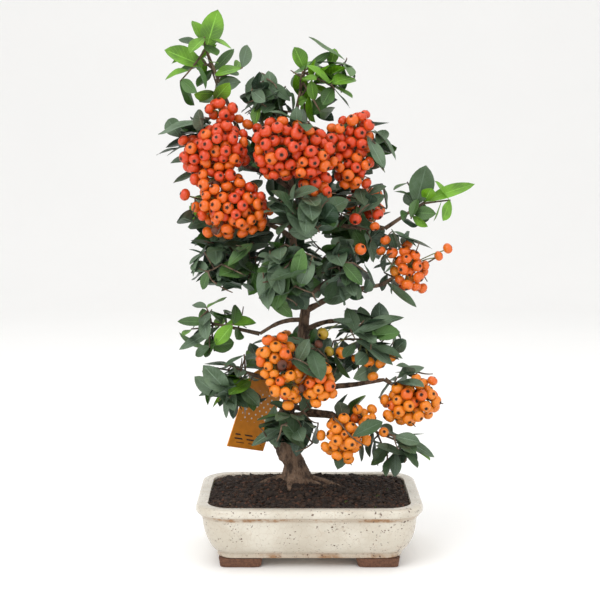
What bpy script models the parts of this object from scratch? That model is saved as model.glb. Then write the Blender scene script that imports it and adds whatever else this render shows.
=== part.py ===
"""Scarlet firethorn bonsai in a glazed pot, with its label.

Sizes are millimetres, measured from the middle of the pot at the height it stands on. X runs to the
right, Y away from the viewer and Z up. The last step scales everything to metres and puts the middle
of the whole object's box over the origin.
"""

import math
from typing import NamedTuple

import bmesh
import bpy
import numpy as np
from mathutils import Matrix, Vector

MM = 0.001
CLEAR = 0.3

# Pot and feet
POT_WIDTH = 150.0
POT_DEPTH = 110.0
FOOT_HEIGHT = 6.5
FOOT_SIZE = (29.0, 17.0)
FOOT_PLACE = (45.3, 32.2)
RIM_CORNER = 22.0
CORNER_STEPS = 4
# The outer wall from the bottom up: height, how far inside the rim's edge
POT_WALL = (
    (6.5, 14.8), (7.2, 13.8), (10.0, 13.4), (11.0, 11.8), (15.0, 8.8), (21.0, 6.2), (28.0, 4.6),
    (34.0, 3.9), (34.8, 2.6), (36.0, 2.2), (36.8, 0.6), (38.5, 0.0), (41.0, 0.3), (42.0, 1.6),
)
# The inner wall from the top down, the same way
POT_INSIDE = ((42.0, 6.8), (40.8, 8.0), (30.0, 9.6), (16.0, 14.5), (12.0, 20.0))

# Soil
SOIL_EDGE = 39.6
SOIL_SEAT = 48.0
SEAT_SHARE = 0.2
SOIL_RINGS = (1.0, 0.93, 0.8, 0.62, 0.42, SEAT_SHARE)

# Trunk: x, y, z of the middle line, and the radius
TRUNK_LINE = (
    (-8.3, 0.0, 44.0, 10.5), (-8.8, 0.0, 52.0, 8.6), (-10.6, 0.0, 61.0, 6.9), (-17.1, -2.0, 72.4, 6.2),
    (-20.5, -3.0, 81.6, 5.6), (-17.7, -2.0, 90.3, 5.3), (-13.0, 0.0, 101.7, 5.1), (-8.2, 2.0, 117.8, 4.6),
    (-4.8, 3.0, 136.9, 3.8), (-4.2, 3.0, 154.7, 3.3), (-2.8, 2.0, 170.5, 2.9), (-5.5, 2.0, 187.4, 2.6),
    (-10.2, 3.0, 206.3, 2.4), (-12.3, 4.0, 227.8, 2.2), (-12.2, 4.0, 251.9, 1.9), (-13.6, 3.0, 273.2, 1.6),
    (-14.9, 2.0, 289.1, 1.3),
)
TRUNK_SIDES = 9
TRUNK_SECTIONS = 24
# Roots that run out over the soil: angle in degrees, length, radius at the trunk
ROOTS = ((-9.0, 34.0, 3.6), (-55.0, 25.0, 3.3), (-121.0, 22.0, 3.5), (173.0, 26.0, 3.7), (93.0, 24.0, 3.1))

# Label and its wire
LABEL_CORNER = (-56.8, 15.0, 69.3)
LABEL_ACROSS = (0.766, 0.595, -0.244)
LABEL_UP = (0.304, 0.0, 0.953)
LABEL_SIZE = (31.6, 56.9, 0.9)
LABEL_HOLE = 2.0
WIRE_RADIUS = 0.45
WIRE_BOUGH = "bough_back_low"
WIRE_SHARE = 0.72

# Leaves, fruit and twigs
SEED = 41
FRUIT_RADIUS = 4.7
FRUIT_SPACING = 12.0
CORE_DEPTH = 0.3
CORE_SIDES = 7
CORE_RINGS = 4
CORE_LEAVES = 14
CORE_SUNK = 1.6
TWIG_SIDES = 3
TWIG_RADIUS = 0.85
STEM_RADIUS = 1.4
STEM_GAP = 0.36
KEPT_FACES = 0.72
LEAF_THICKNESS = 0.9
LEAF_MARGIN = 0.45
LEAF_GAP = 1.5
LEAF_REACH = 1.22
TWIG_GAP = 1.6
LEAF_TURNS = 24
LEAVES_ON_TWIG = 3
# A leaf's outline: share of its length, share of its width to each side
LEAF_OUTLINE = ((0.0, 0.0), (0.3, 0.36), (0.72, 0.46), (1.0, 0.0), (0.72, -0.46), (0.3, -0.36))


class Bough(NamedTuple):
    """A limb from the trunk, at a height, to a tip, raised by lift in its middle."""

    height: float
    tip: tuple
    lift: float
    base_radius: float
    tip_radius: float


class Mass(NamedTuple):
    """Foliage round a stem that runs on from a bough, or from the trunk at a height, to a tip."""

    centre: tuple
    size: float
    reach: tuple
    carrier: object
    tip: tuple
    twigs: int
    leaf: float
    core: float = 0.0


BOUGHS = {
    "bough_top_left": Bough(262.0, (-46.0, -3.0, 284.0), 2.0, 1.7, 1.2),
    "bough_high_left": Bough(247.0, (-41.0, -13.0, 262.0), 2.0, 1.7, 1.2),
    "bough_low_left": Bough(214.0, (-34.0, -13.0, 226.0), 2.0, 1.8, 1.3),
    "bough_centre": Bough(256.0, (-12.0, -15.0, 263.0), 1.5, 1.6, 1.2),
    "bough_high_right": Bough(259.0, (10.0, -6.0, 267.0), 2.0, 1.6, 1.2),
    "bough_left": Bough(182.0, (-31.0, -8.0, 192.0), 2.0, 1.9, 1.3),
    "bough_right_upper": Bough(238.0, (20.0, -3.0, 237.0), 1.5, 1.6, 1.2),
    "bough_right_shoot": Bough(229.0, (50.0, -4.0, 221.0), -2.0, 1.7, 1.1),
    "bough_right_far": Bough(165.0, (48.0, -11.0, 184.0), 3.0, 2.3, 1.3),
    "bough_right_row": Bough(151.0, (26.0, -9.0, 159.0), 3.0, 2.0, 1.2),
    "bough_left_shoot": Bough(159.0, (-33.0, -8.0, 151.0), 3.0, 1.7, 1.1),
    "bough_left_lowest": Bough(109.0, (-31.0, -8.0, 121.0), 2.0, 2.0, 1.3),
    "bough_front_low": Bough(128.0, (-12.0, -19.0, 129.0), 2.0, 1.9, 1.3),
    "bough_right_low": Bough(111.0, (50.0, -15.0, 121.0), -1.0, 2.4, 1.3),
    "bough_right_bottom": Bough(101.0, (14.0, -19.0, 99.0), -1.0, 2.1, 1.3),
    "bough_right_under": Bough(94.0, (36.0, -13.0, 91.0), 2.5, 1.9, 1.2),
    "bough_back_top": Bough(250.0, (-16.0, 17.0, 257.0), 1.0, 1.6, 1.2),
    "bough_back_left": Bough(222.0, (-33.0, 13.0, 224.0), 1.5, 1.6, 1.2),
    "bough_back_right": Bough(219.5, (11.0, 16.0, 227.0), 1.5, 1.6, 1.2),
    "bough_back_middle": Bough(190.0, (-6.0, 18.0, 194.0), 1.0, 1.7, 1.2),
    "bough_back_low": Bough(124.0, (-14.0, 20.0, 128.0), 1.5, 1.9, 1.3),
}

MASSES = {
    "shoot_top_left": Mass((-66, -5, 322), 24, (26, 16, 32), "bough_top_left", (-70, -5, 344), 6, 19),
    "crown_top": Mass((-26, -1, 304), 22, (28, 20, 22), "trunk", (-34, 0, 307), 5, 20, 0.5),
    "tuft_top_right": Mass((6, 3, 314), 22, (26, 18, 26), 275.0, (-3, 4, 326), 9, 19),
    "fruit_high_left": Mass((-62, -15, 275), 27, (32, 28, 28), "bough_high_left", (-54, -15, 271), 4, 20, 0.6),
    "fruit_low_left": Mass((-52, -17, 237), 26, (32, 30, 26), "bough_low_left", (-45, -17, 232), 4, 20, 0.6),
    "fruit_centre": Mass((-10, -26, 272), 27, (28, 28, 26), "bough_centre", (-10, -23, 269), 3, 21, 0.55),
    "fruit_high_right": Mass((28, -8, 270), 26, (26, 24, 28), "bough_high_right", (20, -8, 271), 4, 19, 0.5),
    "leaves_front_high": Mass((-5, -28, 236), 23, (30, 26, 23), 228.0, (-5, -28, 238), 4, 21, 0.66),
    "leaves_left": Mass((-48, -14, 200), 25, (28, 24, 25), "bough_left", (-48, -14, 202), 4, 20, 0.66),
    "leaves_front": Mass((-13, -28, 194), 23, (26, 26, 24), 179.0, (-14, -28, 197), 4, 22, 0.64),
    "leaves_right": Mass((23, -18, 196), 22, (24, 22, 24), 173.0, (23, -17, 197), 4, 20, 0.62),
    "shoot_right": Mass((76, -6, 240), 24, (20, 14, 20), "bough_right_shoot", (77, -5, 239), 3, 18),
    "leaves_right_upper": Mass((37, -6, 238), 21, (22, 20, 21), "bough_right_upper", (39, -7, 239), 4, 19, 0.6),
    "fruit_right": Mass((62, -12, 203), 24, (26, 19, 26), "bough_right_far", (61, -12, 192), 6, 18, 0.35),
    "shoot_left": Mass((-60, -12, 154), 24, (22, 17, 20), "bough_left_shoot", (-67, -12, 159), 7, 18),
    "leaves_left_low": Mass((-48, -14, 123), 24, (23, 18, 24), "bough_left_lowest", (-46, -13, 127), 4, 20, 0.55),
    "fruit_front_low": Mass((-10, -30, 127), 27, (27, 24, 24), "bough_front_low", (-9, -26, 128), 4, 20, 0.6),
    "leaves_front_low": Mass((-10, -22, 95), 22, (25, 22, 20), 98.0, (-8, -22, 97), 5, 22, 0.45),
    "fruit_right_row": Mass((36, -17, 146), 24, (25, 20, 22), "bough_right_row", (36, -15, 147), 5, 19, 0.55),
    "fruit_right_low": Mass((67, -17, 109), 25, (23, 20, 22), "bough_right_low", (60, -16, 115), 5, 19, 0.4),
    "fruit_bottom": Mass((27, -29, 89), 22, (24, 22, 21), "bough_right_bottom", (20, -23, 97), 4, 20, 0.5),
    "leaves_bottom_right": Mass((57, -19, 79), 20, (22, 18, 20), "bough_right_under", (48, -17, 84), 5, 21, 0.45),
    "back_top": Mass((-17, 29, 268), 28, (32, 22, 28), "bough_back_top", (-18, 28, 266), 4, 21, 0.68),
    "back_left": Mass((-52, 21, 223), 27, (26, 22, 28), "bough_back_left", (-49, 20, 226), 4, 21, 0.62),
    "back_right": Mass((30, 25, 225), 27, (27, 22, 28), "bough_back_right", (28, 24, 227), 4, 21, 0.66),
    "back_middle": Mass((-8, 33, 192), 24, (30, 21, 22), "bough_back_middle", (-6, 31, 194), 4, 21, 0.66),
    "back_low": Mass((-8, 30, 125), 26, (30, 21, 25), "bough_back_low", (-9, 29, 127), 4, 21, 0.62),
}

# Fruit clusters: middle, and how far the fruit's middles lie from it along each axis
FRUIT_CLUSTERS = (
    ((-58, -17, 297), (6, 5, 4)),
    ((-74, -22, 271), (5, 6, 8)),
    ((-57, -25, 274), (13, 11, 12)),
    ((-61, -28, 254), (11, 5, 4)),
    ((-50, -28, 235), (20, 13, 14)),
    ((-19, -35, 273), (13, 11, 15)),
    ((0, -34, 269), (11, 10, 12)),
    ((5, -30, 251), (6, 6, 6)),
    ((15, -17, 278), (6, 6, 6)),
    ((31, -13, 284), (5, 6, 12)),
    ((27, -17, 261), (8, 8, 9)),
    ((66, -14, 196), (6, 7, 11)),
    ((-22, -38, 138), (7, 7, 13)),
    ((-13, -39, 121), (7, 7, 8)),
    ((6, -38, 122), (7, 7, 10)),
    ((62, -22, 105), (9, 9, 9)),
    ((75, -20, 110), (7, 7, 10)),
    ((22, -36, 86), (10, 9, 10)),
    ((36, -30, 98), (4, 5, 6)),
    ((-56, 29, 232), (8, 8, 8)),
    ((38, 33, 236), (8, 8, 9)),
    ((-14, 42, 130), (8, 7, 8)),
    ((-22, 40, 273), (8, 7, 8)),
)

# Fruit that hangs by itself on its own stalk
FRUIT_SINGLES = (
    (-46, -12, 293), (-41, -12, 290), (-34, -14, 287), (-81, -24, 244), (30, -19, 228), (45, -14, 231),
    (43, -16, 223), (50, -16, 214), (47, -18, 207), (55, -17, 205), (33, -30, 209), (74, -12, 182),
    (86, -8, 203), (92, -8, 208), (6, -31, 147), (9, -24, 153), (13, -22, 141), (21, -23, 140),
    (31, -23, 136), (39, -23, 134), (47, -22, 133), (55, -19, 137), (42, -21, 124), (49, -28, 88),
)

# Leaves that stand out of the crown's outline: base, tip, width
OUTLINE_LEAVES = (
    ((-68, -5, 338), (-60, -9, 364), 15), ((-69, -5, 328), (-95, -9, 338), 14),
    ((-72, -5, 342), (-87, 2, 347), 6), ((-64, -3, 324), (-50, 8, 341), 7),
    ((-60, -5, 314), (-39, -10, 330), 13), ((-63, -6, 308), (-83, -12, 300), 10),
    ((-25, -12, 286), (-26, -15, 312), 14), ((3, -12, 290), (-14, -16, 307), 13),
    ((-3, 5, 326), (-10, 2, 341), 11), ((-2, 5, 326), (14, 5, 339), 6),
    ((71, -6, 237), (77, -12, 262), 17), ((76, -6, 239), (109, -8, 253), 9),
    ((54, -8, 225), (71, -14, 217), 7), ((51, -14, 186), (71, -18, 170), 6),
    ((-66, -12, 159), (-88, -12, 160), 7), ((-60, -12, 156), (-87, -14, 141), 7),
    ((-44, -12, 150), (-67, -18, 144), 13), ((-51, -12, 127), (-64, -14, 103), 9),
    ((-13, -26, 95), (-39, -30, 80), 7), ((16, -27, 101), (-2, -34, 74), 13),
    ((43, -36, 80), (37, -40, 57), 17), ((57, -24, 86), (84, -22, 70), 7),
    ((50, -26, 81), (68, -26, 59), 8), ((-17, -40, 181), (-13, -46, 150), 16),
    ((32, -16, 159), (49, -18, 152), 13), ((-38, -42, 259), (-23, -50, 283), 9),
)

CENTRES = np.array([mass.centre for mass in MASSES.values()], float)
SIZES = np.array([mass.size for mass in MASSES.values()], float)


def unit(vector):
    vector = np.asarray(vector, float)
    return vector / np.linalg.norm(vector)


def across(vector, direction):
    """The part of a vector that is square to a direction, at length 1."""
    rest = vector - np.dot(vector, direction) * direction
    return unit(rest) if np.linalg.norm(rest) > 1e-6 else unit(np.cross(direction, (0.31, 0.85, 0.43)))


def bent(start, tip, lift, count):
    """Points along a quadratic curve from start to tip, raised by lift at its middle."""
    share = np.linspace(0.0, 1.0, count)[:, None]
    straight = start + (tip - start) * share
    return straight + 4.0 * share * (1.0 - share) * np.array((0.0, 0.0, lift))


def smooth(points, count):
    """A Catmull-Rom curve through the points, read at equal steps of its parameter."""
    points = np.asarray(points, float)
    padded = np.vstack([2 * points[0] - points[1], points, 2 * points[-1] - points[-2]])
    place = np.linspace(0, len(points) - 1 - 1e-9, count)
    first = place.astype(int)
    t = (place - first)[:, None]
    a, b, c, d = (padded[first + k] for k in range(4))
    return 0.5 * (2 * b + (c - a) * t + (2 * a - 5 * b + 4 * c - d) * t**2 + (3 * b - a - 3 * c + d) * t**3)


TRUNK_CURVE = smooth(TRUNK_LINE, 90)


def trunk_at(height):
    """Middle and radius of the trunk at a height."""
    heights = TRUNK_CURVE[:, 2]
    x, y, radius = (np.interp(height, heights, TRUNK_CURVE[:, k]) for k in (0, 1, 3))
    return np.array((x, y, height)), radius


def even_directions(count, turn):
    """Directions spread evenly over a sphere, each a golden angle on from the one before."""
    k = np.arange(count) + 0.5
    polar = np.arccos(1 - 2 * k / count)
    azimuth = math.pi * (1 + math.sqrt(5)) * k + turn
    flat = np.sin(polar)
    return np.stack([np.cos(azimuth) * flat, np.sin(azimuth) * flat, np.cos(polar)], axis=1)


def room(index, points):
    """How deep points lie in the space of a mass: where it is nearer than any other, less its size."""
    own = ((points - CENTRES[index]) ** 2).sum(1) - SIZES[index] ** 2
    others = np.arange(len(CENTRES)) != index
    gaps = ((points[:, None] - CENTRES[others]) ** 2).sum(2) - SIZES[others] ** 2 - own[:, None]
    return (gaps / (2 * np.linalg.norm(CENTRES[others] - CENTRES[index], axis=1))).min(1)


def home_of(point):
    """The mass whose space holds a point."""
    return int(np.argmin(((CENTRES - point) ** 2).sum(1) - SIZES**2))


class Limbs:
    """Every limb as short straight runs with a radius and an owner, for keeping others clear of it."""

    def __init__(self):
        self.starts, self.ends, self.radii, self.owners = [], [], [], []

    def add(self, points, radii, owner):
        for k in range(len(points) - 1):
            self.starts.append(points[k])
            self.ends.append(points[k + 1])
            self.radii.append(max(radii[k], radii[k + 1]))
            self.owners.append(owner)

    def gap(self, points, owner=None):
        """The least distance from the points to any limb that the owner doesn't own."""
        keep = np.array([held != owner for held in self.owners])
        starts, ends = np.array(self.starts)[keep], np.array(self.ends)[keep]
        runs = ends - starts
        share = ((points[:, None] - starts) * runs).sum(2) / (runs * runs).sum(1)
        nearest = starts + np.clip(share, 0, 1)[:, :, None] * runs
        return (np.linalg.norm(points[:, None] - nearest, axis=2) - np.array(self.radii)[keep]).min()

    def nearest(self, point, owner):
        """The point on the owner's limbs that is nearest to a point."""
        keep = np.array([held == owner for held in self.owners])
        starts, ends = np.array(self.starts)[keep], np.array(self.ends)[keep]
        runs = ends - starts
        share = np.clip(((point - starts) * runs).sum(1) / (runs * runs).sum(1), 0, 1)
        on = starts + share[:, None] * runs
        return on[np.argmin(np.linalg.norm(on - point, axis=1))]


def bough_line(bough):
    start, _ = trunk_at(bough.height)
    return bent(start, np.array(bough.tip), bough.lift, 4), np.linspace(bough.base_radius, bough.tip_radius, 4)


def carrier_end(mass):
    """Where the stem of a mass begins, the way its carrier points there, and the carrier's radius."""
    if not isinstance(mass.carrier, str):
        start, _ = trunk_at(mass.carrier)
        return start, unit(np.array(mass.tip) - start), STEM_RADIUS
    if mass.carrier == "trunk":
        line, radius = TRUNK_CURVE[:, :3], TRUNK_CURVE[-1, 3]
    else:
        bough = BOUGHS[mass.carrier]
        line, radius = bough_line(bough)[0], bough.tip_radius
    heading = unit(line[-1] - line[-2])
    return line[-1] + STEM_GAP * heading, heading, radius


def stem_line(mass):
    """The stem of a mass, from a hair's breadth past its bough's end, or from inside the trunk, to its tip."""
    start, _, radius = carrier_end(mass)
    return bent(start, np.array(mass.tip, float), 0.0, 3), np.linspace(radius + 0.4, TWIG_RADIUS + 0.4, 3)


def label_hole():
    """The middle of the label's hole, and the label's up and outward directions."""
    side, up = unit(LABEL_ACROSS), unit(LABEL_UP)
    middle = np.array(LABEL_CORNER) + side * LABEL_SIZE[0] / 2 + up * (LABEL_SIZE[1] - 5.0)
    return middle, up, unit(np.cross(side, up))


def wire_line():
    """The wire: over its bough, down to the label, and through the hole from the front."""
    points, radii = bough_line(BOUGHS[WIRE_BOUGH])
    place = WIRE_SHARE * (len(points) - 1)
    first = int(place)
    on = points[first] + (points[first + 1] - points[first]) * (place - first)
    along = unit(points[first + 1] - points[first])
    hole, up, front = label_hole()
    toward = across(hole - on, along)
    above = across(np.array((0.0, 0.0, 1.0)), along)
    off = radii[first] + WIRE_RADIUS + 0.5
    return np.array((
        on - toward * off * 1.25 - above * 0.4, on + above * off * 1.3 - toward * off * 0.5,
        on + above * off * 1.3 + toward * off * 0.7, on + toward * off * 1.8 + above * 0.2,
        hole + front * 4.0 + up * 8.0, hole + front * 2.6 + up * 1.4,
        hole + up * 0.95 + front * 0.6, hole + up * 0.95 - front * 1.4, hole - front * 3.0 + up * 3.0,
    ))


def all_limbs():
    limbs = Limbs()
    wire = wire_line()
    limbs.add(wire, np.full(len(wire), WIRE_RADIUS + 0.6), "label")
    limbs.add(TRUNK_CURVE[::3, :3], TRUNK_CURVE[::3, 3], "trunk")
    for name, bough in BOUGHS.items():
        limbs.add(*bough_line(bough), name)
    for index, mass in enumerate(MASSES.values()):
        limbs.add(*stem_line(mass), index)
    across_label, up_label = np.array(LABEL_ACROSS), np.array(LABEL_UP)
    for share in (0.12, 0.37, 0.63, 0.88):
        foot = np.array(LABEL_CORNER) + across_label * LABEL_SIZE[0] * share
        limbs.add([foot, foot + up_label * LABEL_SIZE[1]], [4.0, 4.0], "label")
    return limbs


class Leaf(NamedTuple):
    base: np.ndarray
    direction: np.ndarray
    normal: np.ndarray
    length: float
    width: float

    def place(self, outline, lift=0.0):
        """Points given as shares of the leaf's length and width, in the leaf's own plane."""
        outline = np.asarray(outline, float)
        side = np.cross(self.normal, self.direction)
        return (
            self.base
            + outline[:, :1] * self.length * self.direction
            + outline[:, 1:2] * self.width * side
            + lift * self.normal
        )


LEAF_SAMPLES = np.array([(x, y) for x in np.linspace(0.2, 1, 7) for y in (-0.46, -0.23, 0, 0.23, 0.46) if x < 1 or y == 0])


class Growth:
    """What grows on the stem of one mass, by a seeded rule: twigs, leaves, fruit and the clusters' cores."""

    def __init__(self, index, limbs):
        self.index, self.limbs = index, limbs
        self.mass = list(MASSES.values())[index]
        self.rng = np.random.default_rng(SEED + index)
        self.centre, self.reach = np.array(self.mass.centre, float), np.array(self.mass.reach, float)
        self.twigs, self.leaves, self.fruit, self.cores = [stem_line(self.mass)], [], [], []
        self.leaf_points = []
        self.core = self.shape_core() if self.mass.core else None
        self.branches = Limbs()
        self.branches.add(*self.twigs[0], "stem")
        self.clusters = [
            (np.array(middle, float), np.array(shell, float))
            for middle, shell in FRUIT_CLUSTERS
            if home_of(middle) == index
        ]

    def fits(self, points, radius, reach=1.0):
        """Whether points with a radius stay in the space, in reach, and clear of the limbs of others."""
        if room(self.index, points).min() < radius + LEAF_MARGIN:
            return False
        if reach and np.linalg.norm((points - self.centre) / self.reach, axis=1).max() > reach:
            return False
        return self.limbs.gap(points, self.index) > radius + 0.8

    def shape_core(self):
        """Corners of the mass's core: rings round its centre, drawn in where its space ends or a limb runs."""
        azimuth = np.arange(CORE_SIDES) * 2 * math.pi / CORE_SIDES
        polar = math.pi * (np.arange(CORE_RINGS) + 0.75) / (CORE_RINGS + 0.5)
        flat, up = np.sin(polar)[:, None], np.cos(polar)[:, None] * np.ones(CORE_SIDES)
        rings = np.stack([flat * np.cos(azimuth), flat * np.sin(azimuth), up], axis=2).reshape(-1, 3)
        corners = np.vstack([(0.0, 0.0, 1.0), rings, (0.0, 0.0, -1.0)])
        probes = even_directions(140, 0.0)
        shares = np.linspace(0.1, self.mass.core, 9)
        depth = np.empty(len(probes))
        for k, probe in enumerate(probes):
            ray = self.centre + shares[:, None] * probe * self.reach
            free = [self.fits(point[None], 0.5) for point in ray]
            depth[k] = shares[free.index(False) - 1] if False in free[1:] else shares[-1]
        near = corners @ probes.T > math.cos(math.radians(46))
        reached = np.where(near, depth, 1.0).min(1)
        return self.centre + corners * reached[:, None] * self.reach

    def core_seats(self):
        """Places spread over the core, a little under its skin, and the way out there."""
        rings = self.core[1:-1].reshape(CORE_RINGS, CORE_SIDES, 3)
        after = np.roll(rings, -1, axis=1)
        middles = (rings[:-1] + rings[1:] + after[:-1] + after[1:]).reshape(-1, 3) / 4
        caps = [(3 * self.core[0] + rings[0, k] + rings[0, k + 1]) / 5 for k in (0, 3)]
        caps += [(3 * self.core[-1] + rings[-1, k] + rings[-1, k + 1]) / 5 for k in (1, 4)]
        places = np.vstack([middles, caps])
        outward = (places - self.centre) / np.linalg.norm(places - self.centre, axis=1)[:, None]
        return places - CORE_SUNK * outward, outward

    def outside_core(self, points):
        if self.core is None:
            return True
        ways = (self.core - self.centre) / self.reach
        depths = np.linalg.norm(ways, axis=1)
        offsets = (points - self.centre) / self.reach
        lengths = np.linalg.norm(offsets, axis=1)
        nearest = (offsets @ (ways / depths[:, None]).T).argmax(1)
        return bool((lengths > depths[nearest] * 1.02).all())

    def clear_of_fruit(self, points):
        for middle, shell in self.clusters:
            if (((points - middle) / (shell + FRUIT_RADIUS + 0.6)) ** 2).sum(1).min() < 1:
                return False
        return all(np.linalg.norm(points - fruit, axis=1).min() > FRUIT_RADIUS + 0.6 for fruit in self.singles)

    def add_twig(self, start, tip, base_radius, tip_radius):
        line = np.array((start, tip))
        self.twigs.append((line, (base_radius, tip_radius)))
        self.branches.add(line, (base_radius, tip_radius), "twig")
        return line

    def free_of_leaves(self, points):
        return all(np.linalg.norm(points[:, None] - other, axis=2).min() > LEAF_GAP for other in self.leaf_points)

    def stalk_to(self, point):
        """The start of a stalk to a point, on the nearest limb of this mass, if the way is free."""
        start = self.limbs.nearest(point, self.index)
        way = start + (point - start) * np.linspace(0.15, 1, 6)[:, None]
        return start if self.fits(way, 0.6, None) else None

    def add_leaf(self, leaf, reach=LEAF_REACH):
        points = leaf.place(LEAF_SAMPLES)
        if not self.fits(points, 0.3, reach) or not self.clear_of_fruit(points):
            return False
        if self.branches.gap(points[5:]) < TWIG_GAP or not self.free_of_leaves(points[5:]):
            return False
        if not self.outside_core(points[5:]):
            return False
        self.leaf_points.append(points[5:])
        self.leaves.append(leaf)
        return True

    def apart(self, point):
        """Whether a fruit would stand clear of the others."""
        return all(np.linalg.norm(other - point) > 1.85 * FRUIT_RADIUS for other, _ in self.fruit)

    def grow_fruit(self, spacing):
        self.singles = []
        for middle, shell in self.clusters:
            start = self.stalk_to(middle)
            start = self.limbs.nearest(middle, self.index) if start is None else start
            self.add_twig(start, middle, 1.0, 0.8)
            self.cores.append((middle, shell - CORE_DEPTH * FRUIT_RADIUS))
            mean = (((shell[0] * shell[1]) ** 1.6 + (shell[0] * shell[2]) ** 1.6 + (shell[1] * shell[2]) ** 1.6) / 3) ** (1 / 1.6)
            count = max(4, round(4 * math.pi * mean / (0.87 * spacing**2)))
            for direction in even_directions(count, self.rng.uniform(0, 6)):
                point = middle + shell * direction
                if self.fits(point[None], FRUIT_RADIUS, None) and self.apart(point):
                    self.fruit.append((point, direction))
        for point in np.array(FRUIT_SINGLES, float):
            start = self.stalk_to(point) if home_of(point) == self.index else None
            if start is not None and self.fits(point[None], FRUIT_RADIUS, None) and self.apart(point):
                self.add_twig(start, point, 0.7, 0.7)
                self.singles.append(point)
                self.fruit.append((point, unit(point - start)))

    def grow_outline(self):
        """The leaves that the crown's outline names, each on a short stalk from the nearest limb."""
        for base, tip, width in OUTLINE_LEAVES:
            base, tip = np.array(base, float), np.array(tip, float)
            if home_of((base + tip) / 2) != self.index:
                continue
            start = self.stalk_to(base)
            direction = unit(tip - base)
            facing = across(np.array((0.15, -1.0, 0.55)), direction)
            leaf = Leaf(base, direction, facing, np.linalg.norm(tip - base), width)
            if start is not None and self.add_leaf(leaf, None) and np.linalg.norm(base - start) > 0.5:
                self.add_twig(start, base + direction * 1.2, 0.7, 0.55)

    def leaf_from(self, start, heading, length):
        """A leaf that starts on a twig and faces up and outwards; it is turned until it fits."""
        for turn in range(LEAF_TURNS):
            direction = unit(heading + self.rng.normal(0, 0.25 + 0.06 * turn, 3))
            outward = unit(start - self.centre + (0, 0, 0.4 * length))
            facing = across(outward + (0, -0.15, 0.5) + self.rng.normal(0, 0.3, 3), direction)
            size = length * self.rng.uniform(0.82, 1.18) * (1 - 0.3 * turn / LEAF_TURNS)
            leaf = Leaf(start, direction, facing, size, size * self.rng.uniform(0.5, 0.62))
            if self.add_leaf(leaf):
                return

    def leaves_along(self, line, count, length):
        """Leaves in turn round a twig, a golden angle apart, and one at its end."""
        along = unit(line[-1] - line[0])
        self.leaf_from(line[-1] - along * 0.5, along, length * 1.1)
        side = across(np.array((0.2, 0.3, 1.0)), along)
        other = np.cross(along, side)
        angle = self.rng.uniform(0, 6)
        for share in np.linspace(0.95, 0.4, count):
            angle += 2.4
            place = share * (len(line) - 1)
            first = min(int(place), len(line) - 2)
            start = line[first] + (line[first + 1] - line[first]) * (place - first)
            spread = math.cos(angle) * side + math.sin(angle) * other
            self.leaf_from(start, 0.7 * along + spread, length)

    def grow_twigs(self):
        """Twigs that spread from the stem towards an even set of directions, with leaves along them."""
        stem, _ = self.twigs[0]
        for direction in even_directions(self.mass.twigs, self.rng.uniform(0, 6)):
            start = stem[1] + (stem[-1] - stem[1]) * self.rng.uniform(0.2, 1.0)
            for share in np.linspace(0.9, 0.3, 8):
                tip = self.centre + self.reach * direction * share
                way = start + (tip - start) * np.linspace(0.2, 1, 6)[:, None]
                if np.linalg.norm(tip - start) < 5 or not self.fits(way, 2.5) or not self.clear_of_fruit(way):
                    continue
                if self.free_of_leaves(way) and self.branches.gap(way[2:]) > TWIG_GAP:
                    line = self.add_twig(start, tip, 0.8, 0.7)
                    self.leaves_along(line, LEAVES_ON_TWIG, self.mass.leaf)
                    break
        self.leaves_along(stem, 4, self.mass.leaf)

    def grow_on_core(self):
        """Leaves that stand out of the core all round, each leaning its own way over it."""
        places, outward = self.core_seats()
        order = self.rng.permutation(len(places))
        before = len(self.leaves)
        for k in order:
            if len(self.leaves) - before >= CORE_LEAVES:
                break
            lean = across(self.rng.normal(0, 1, 3) + (0, 0, 0.3), outward[k])
            self.leaf_from(places[k], 0.75 * outward[k] + lean, self.mass.leaf)

    def grow(self):
        self.grow_fruit(FRUIT_SPACING)
        self.grow_outline()
        if self.core is not None:
            self.grow_on_core()
        self.grow_twigs()
        return self


def clear_scene():
    for item in list(bpy.data.objects):
        bpy.data.objects.remove(item)


def new_collection(name, hidden=False):
    collection = bpy.data.collections.new(name)
    bpy.context.scene.collection.children.link(collection)
    collection.hide_render = hidden
    return collection


def new_material(name, colour, roughness, metallic=0.0):
    material = bpy.data.materials.new(name)
    material.use_nodes = True
    shader = material.node_tree.nodes["Principled BSDF"]
    shader.inputs["Base Color"].default_value = (*colour, 1.0)
    shader.inputs["Roughness"].default_value = roughness
    shader.inputs["Metallic"].default_value = metallic
    return material


def object_of(name, mesh, collection, material=None, smooth_faces=False):
    item = bpy.data.objects.new(name, mesh)
    collection.objects.link(item)
    if material:
        mesh.materials.clear()
        mesh.materials.append(material)
    mesh.polygons.foreach_set("use_smooth", [smooth_faces] * len(mesh.polygons))
    return item


def mesh_of(name, points, faces):
    mesh = bpy.data.meshes.new(name)
    mesh.from_pydata((np.asarray(points) * MM).tolist(), [], faces)
    mesh.update()
    return mesh


def loft(name, rings):
    """A closed skin over rings that all have the same number of points, with a flat cap at each end."""
    sides = len(rings[0])
    faces = [list(range(sides))[::-1]]
    for ring in range(len(rings) - 1):
        low, high = ring * sides, (ring + 1) * sides
        for k in range(sides):
            after = (k + 1) % sides
            faces.append([low + k, low + after, high + after, high + k])
    faces.append([(len(rings) - 1) * sides + k for k in range(sides)])
    return mesh_of(name, np.vstack(rings), faces)


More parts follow.
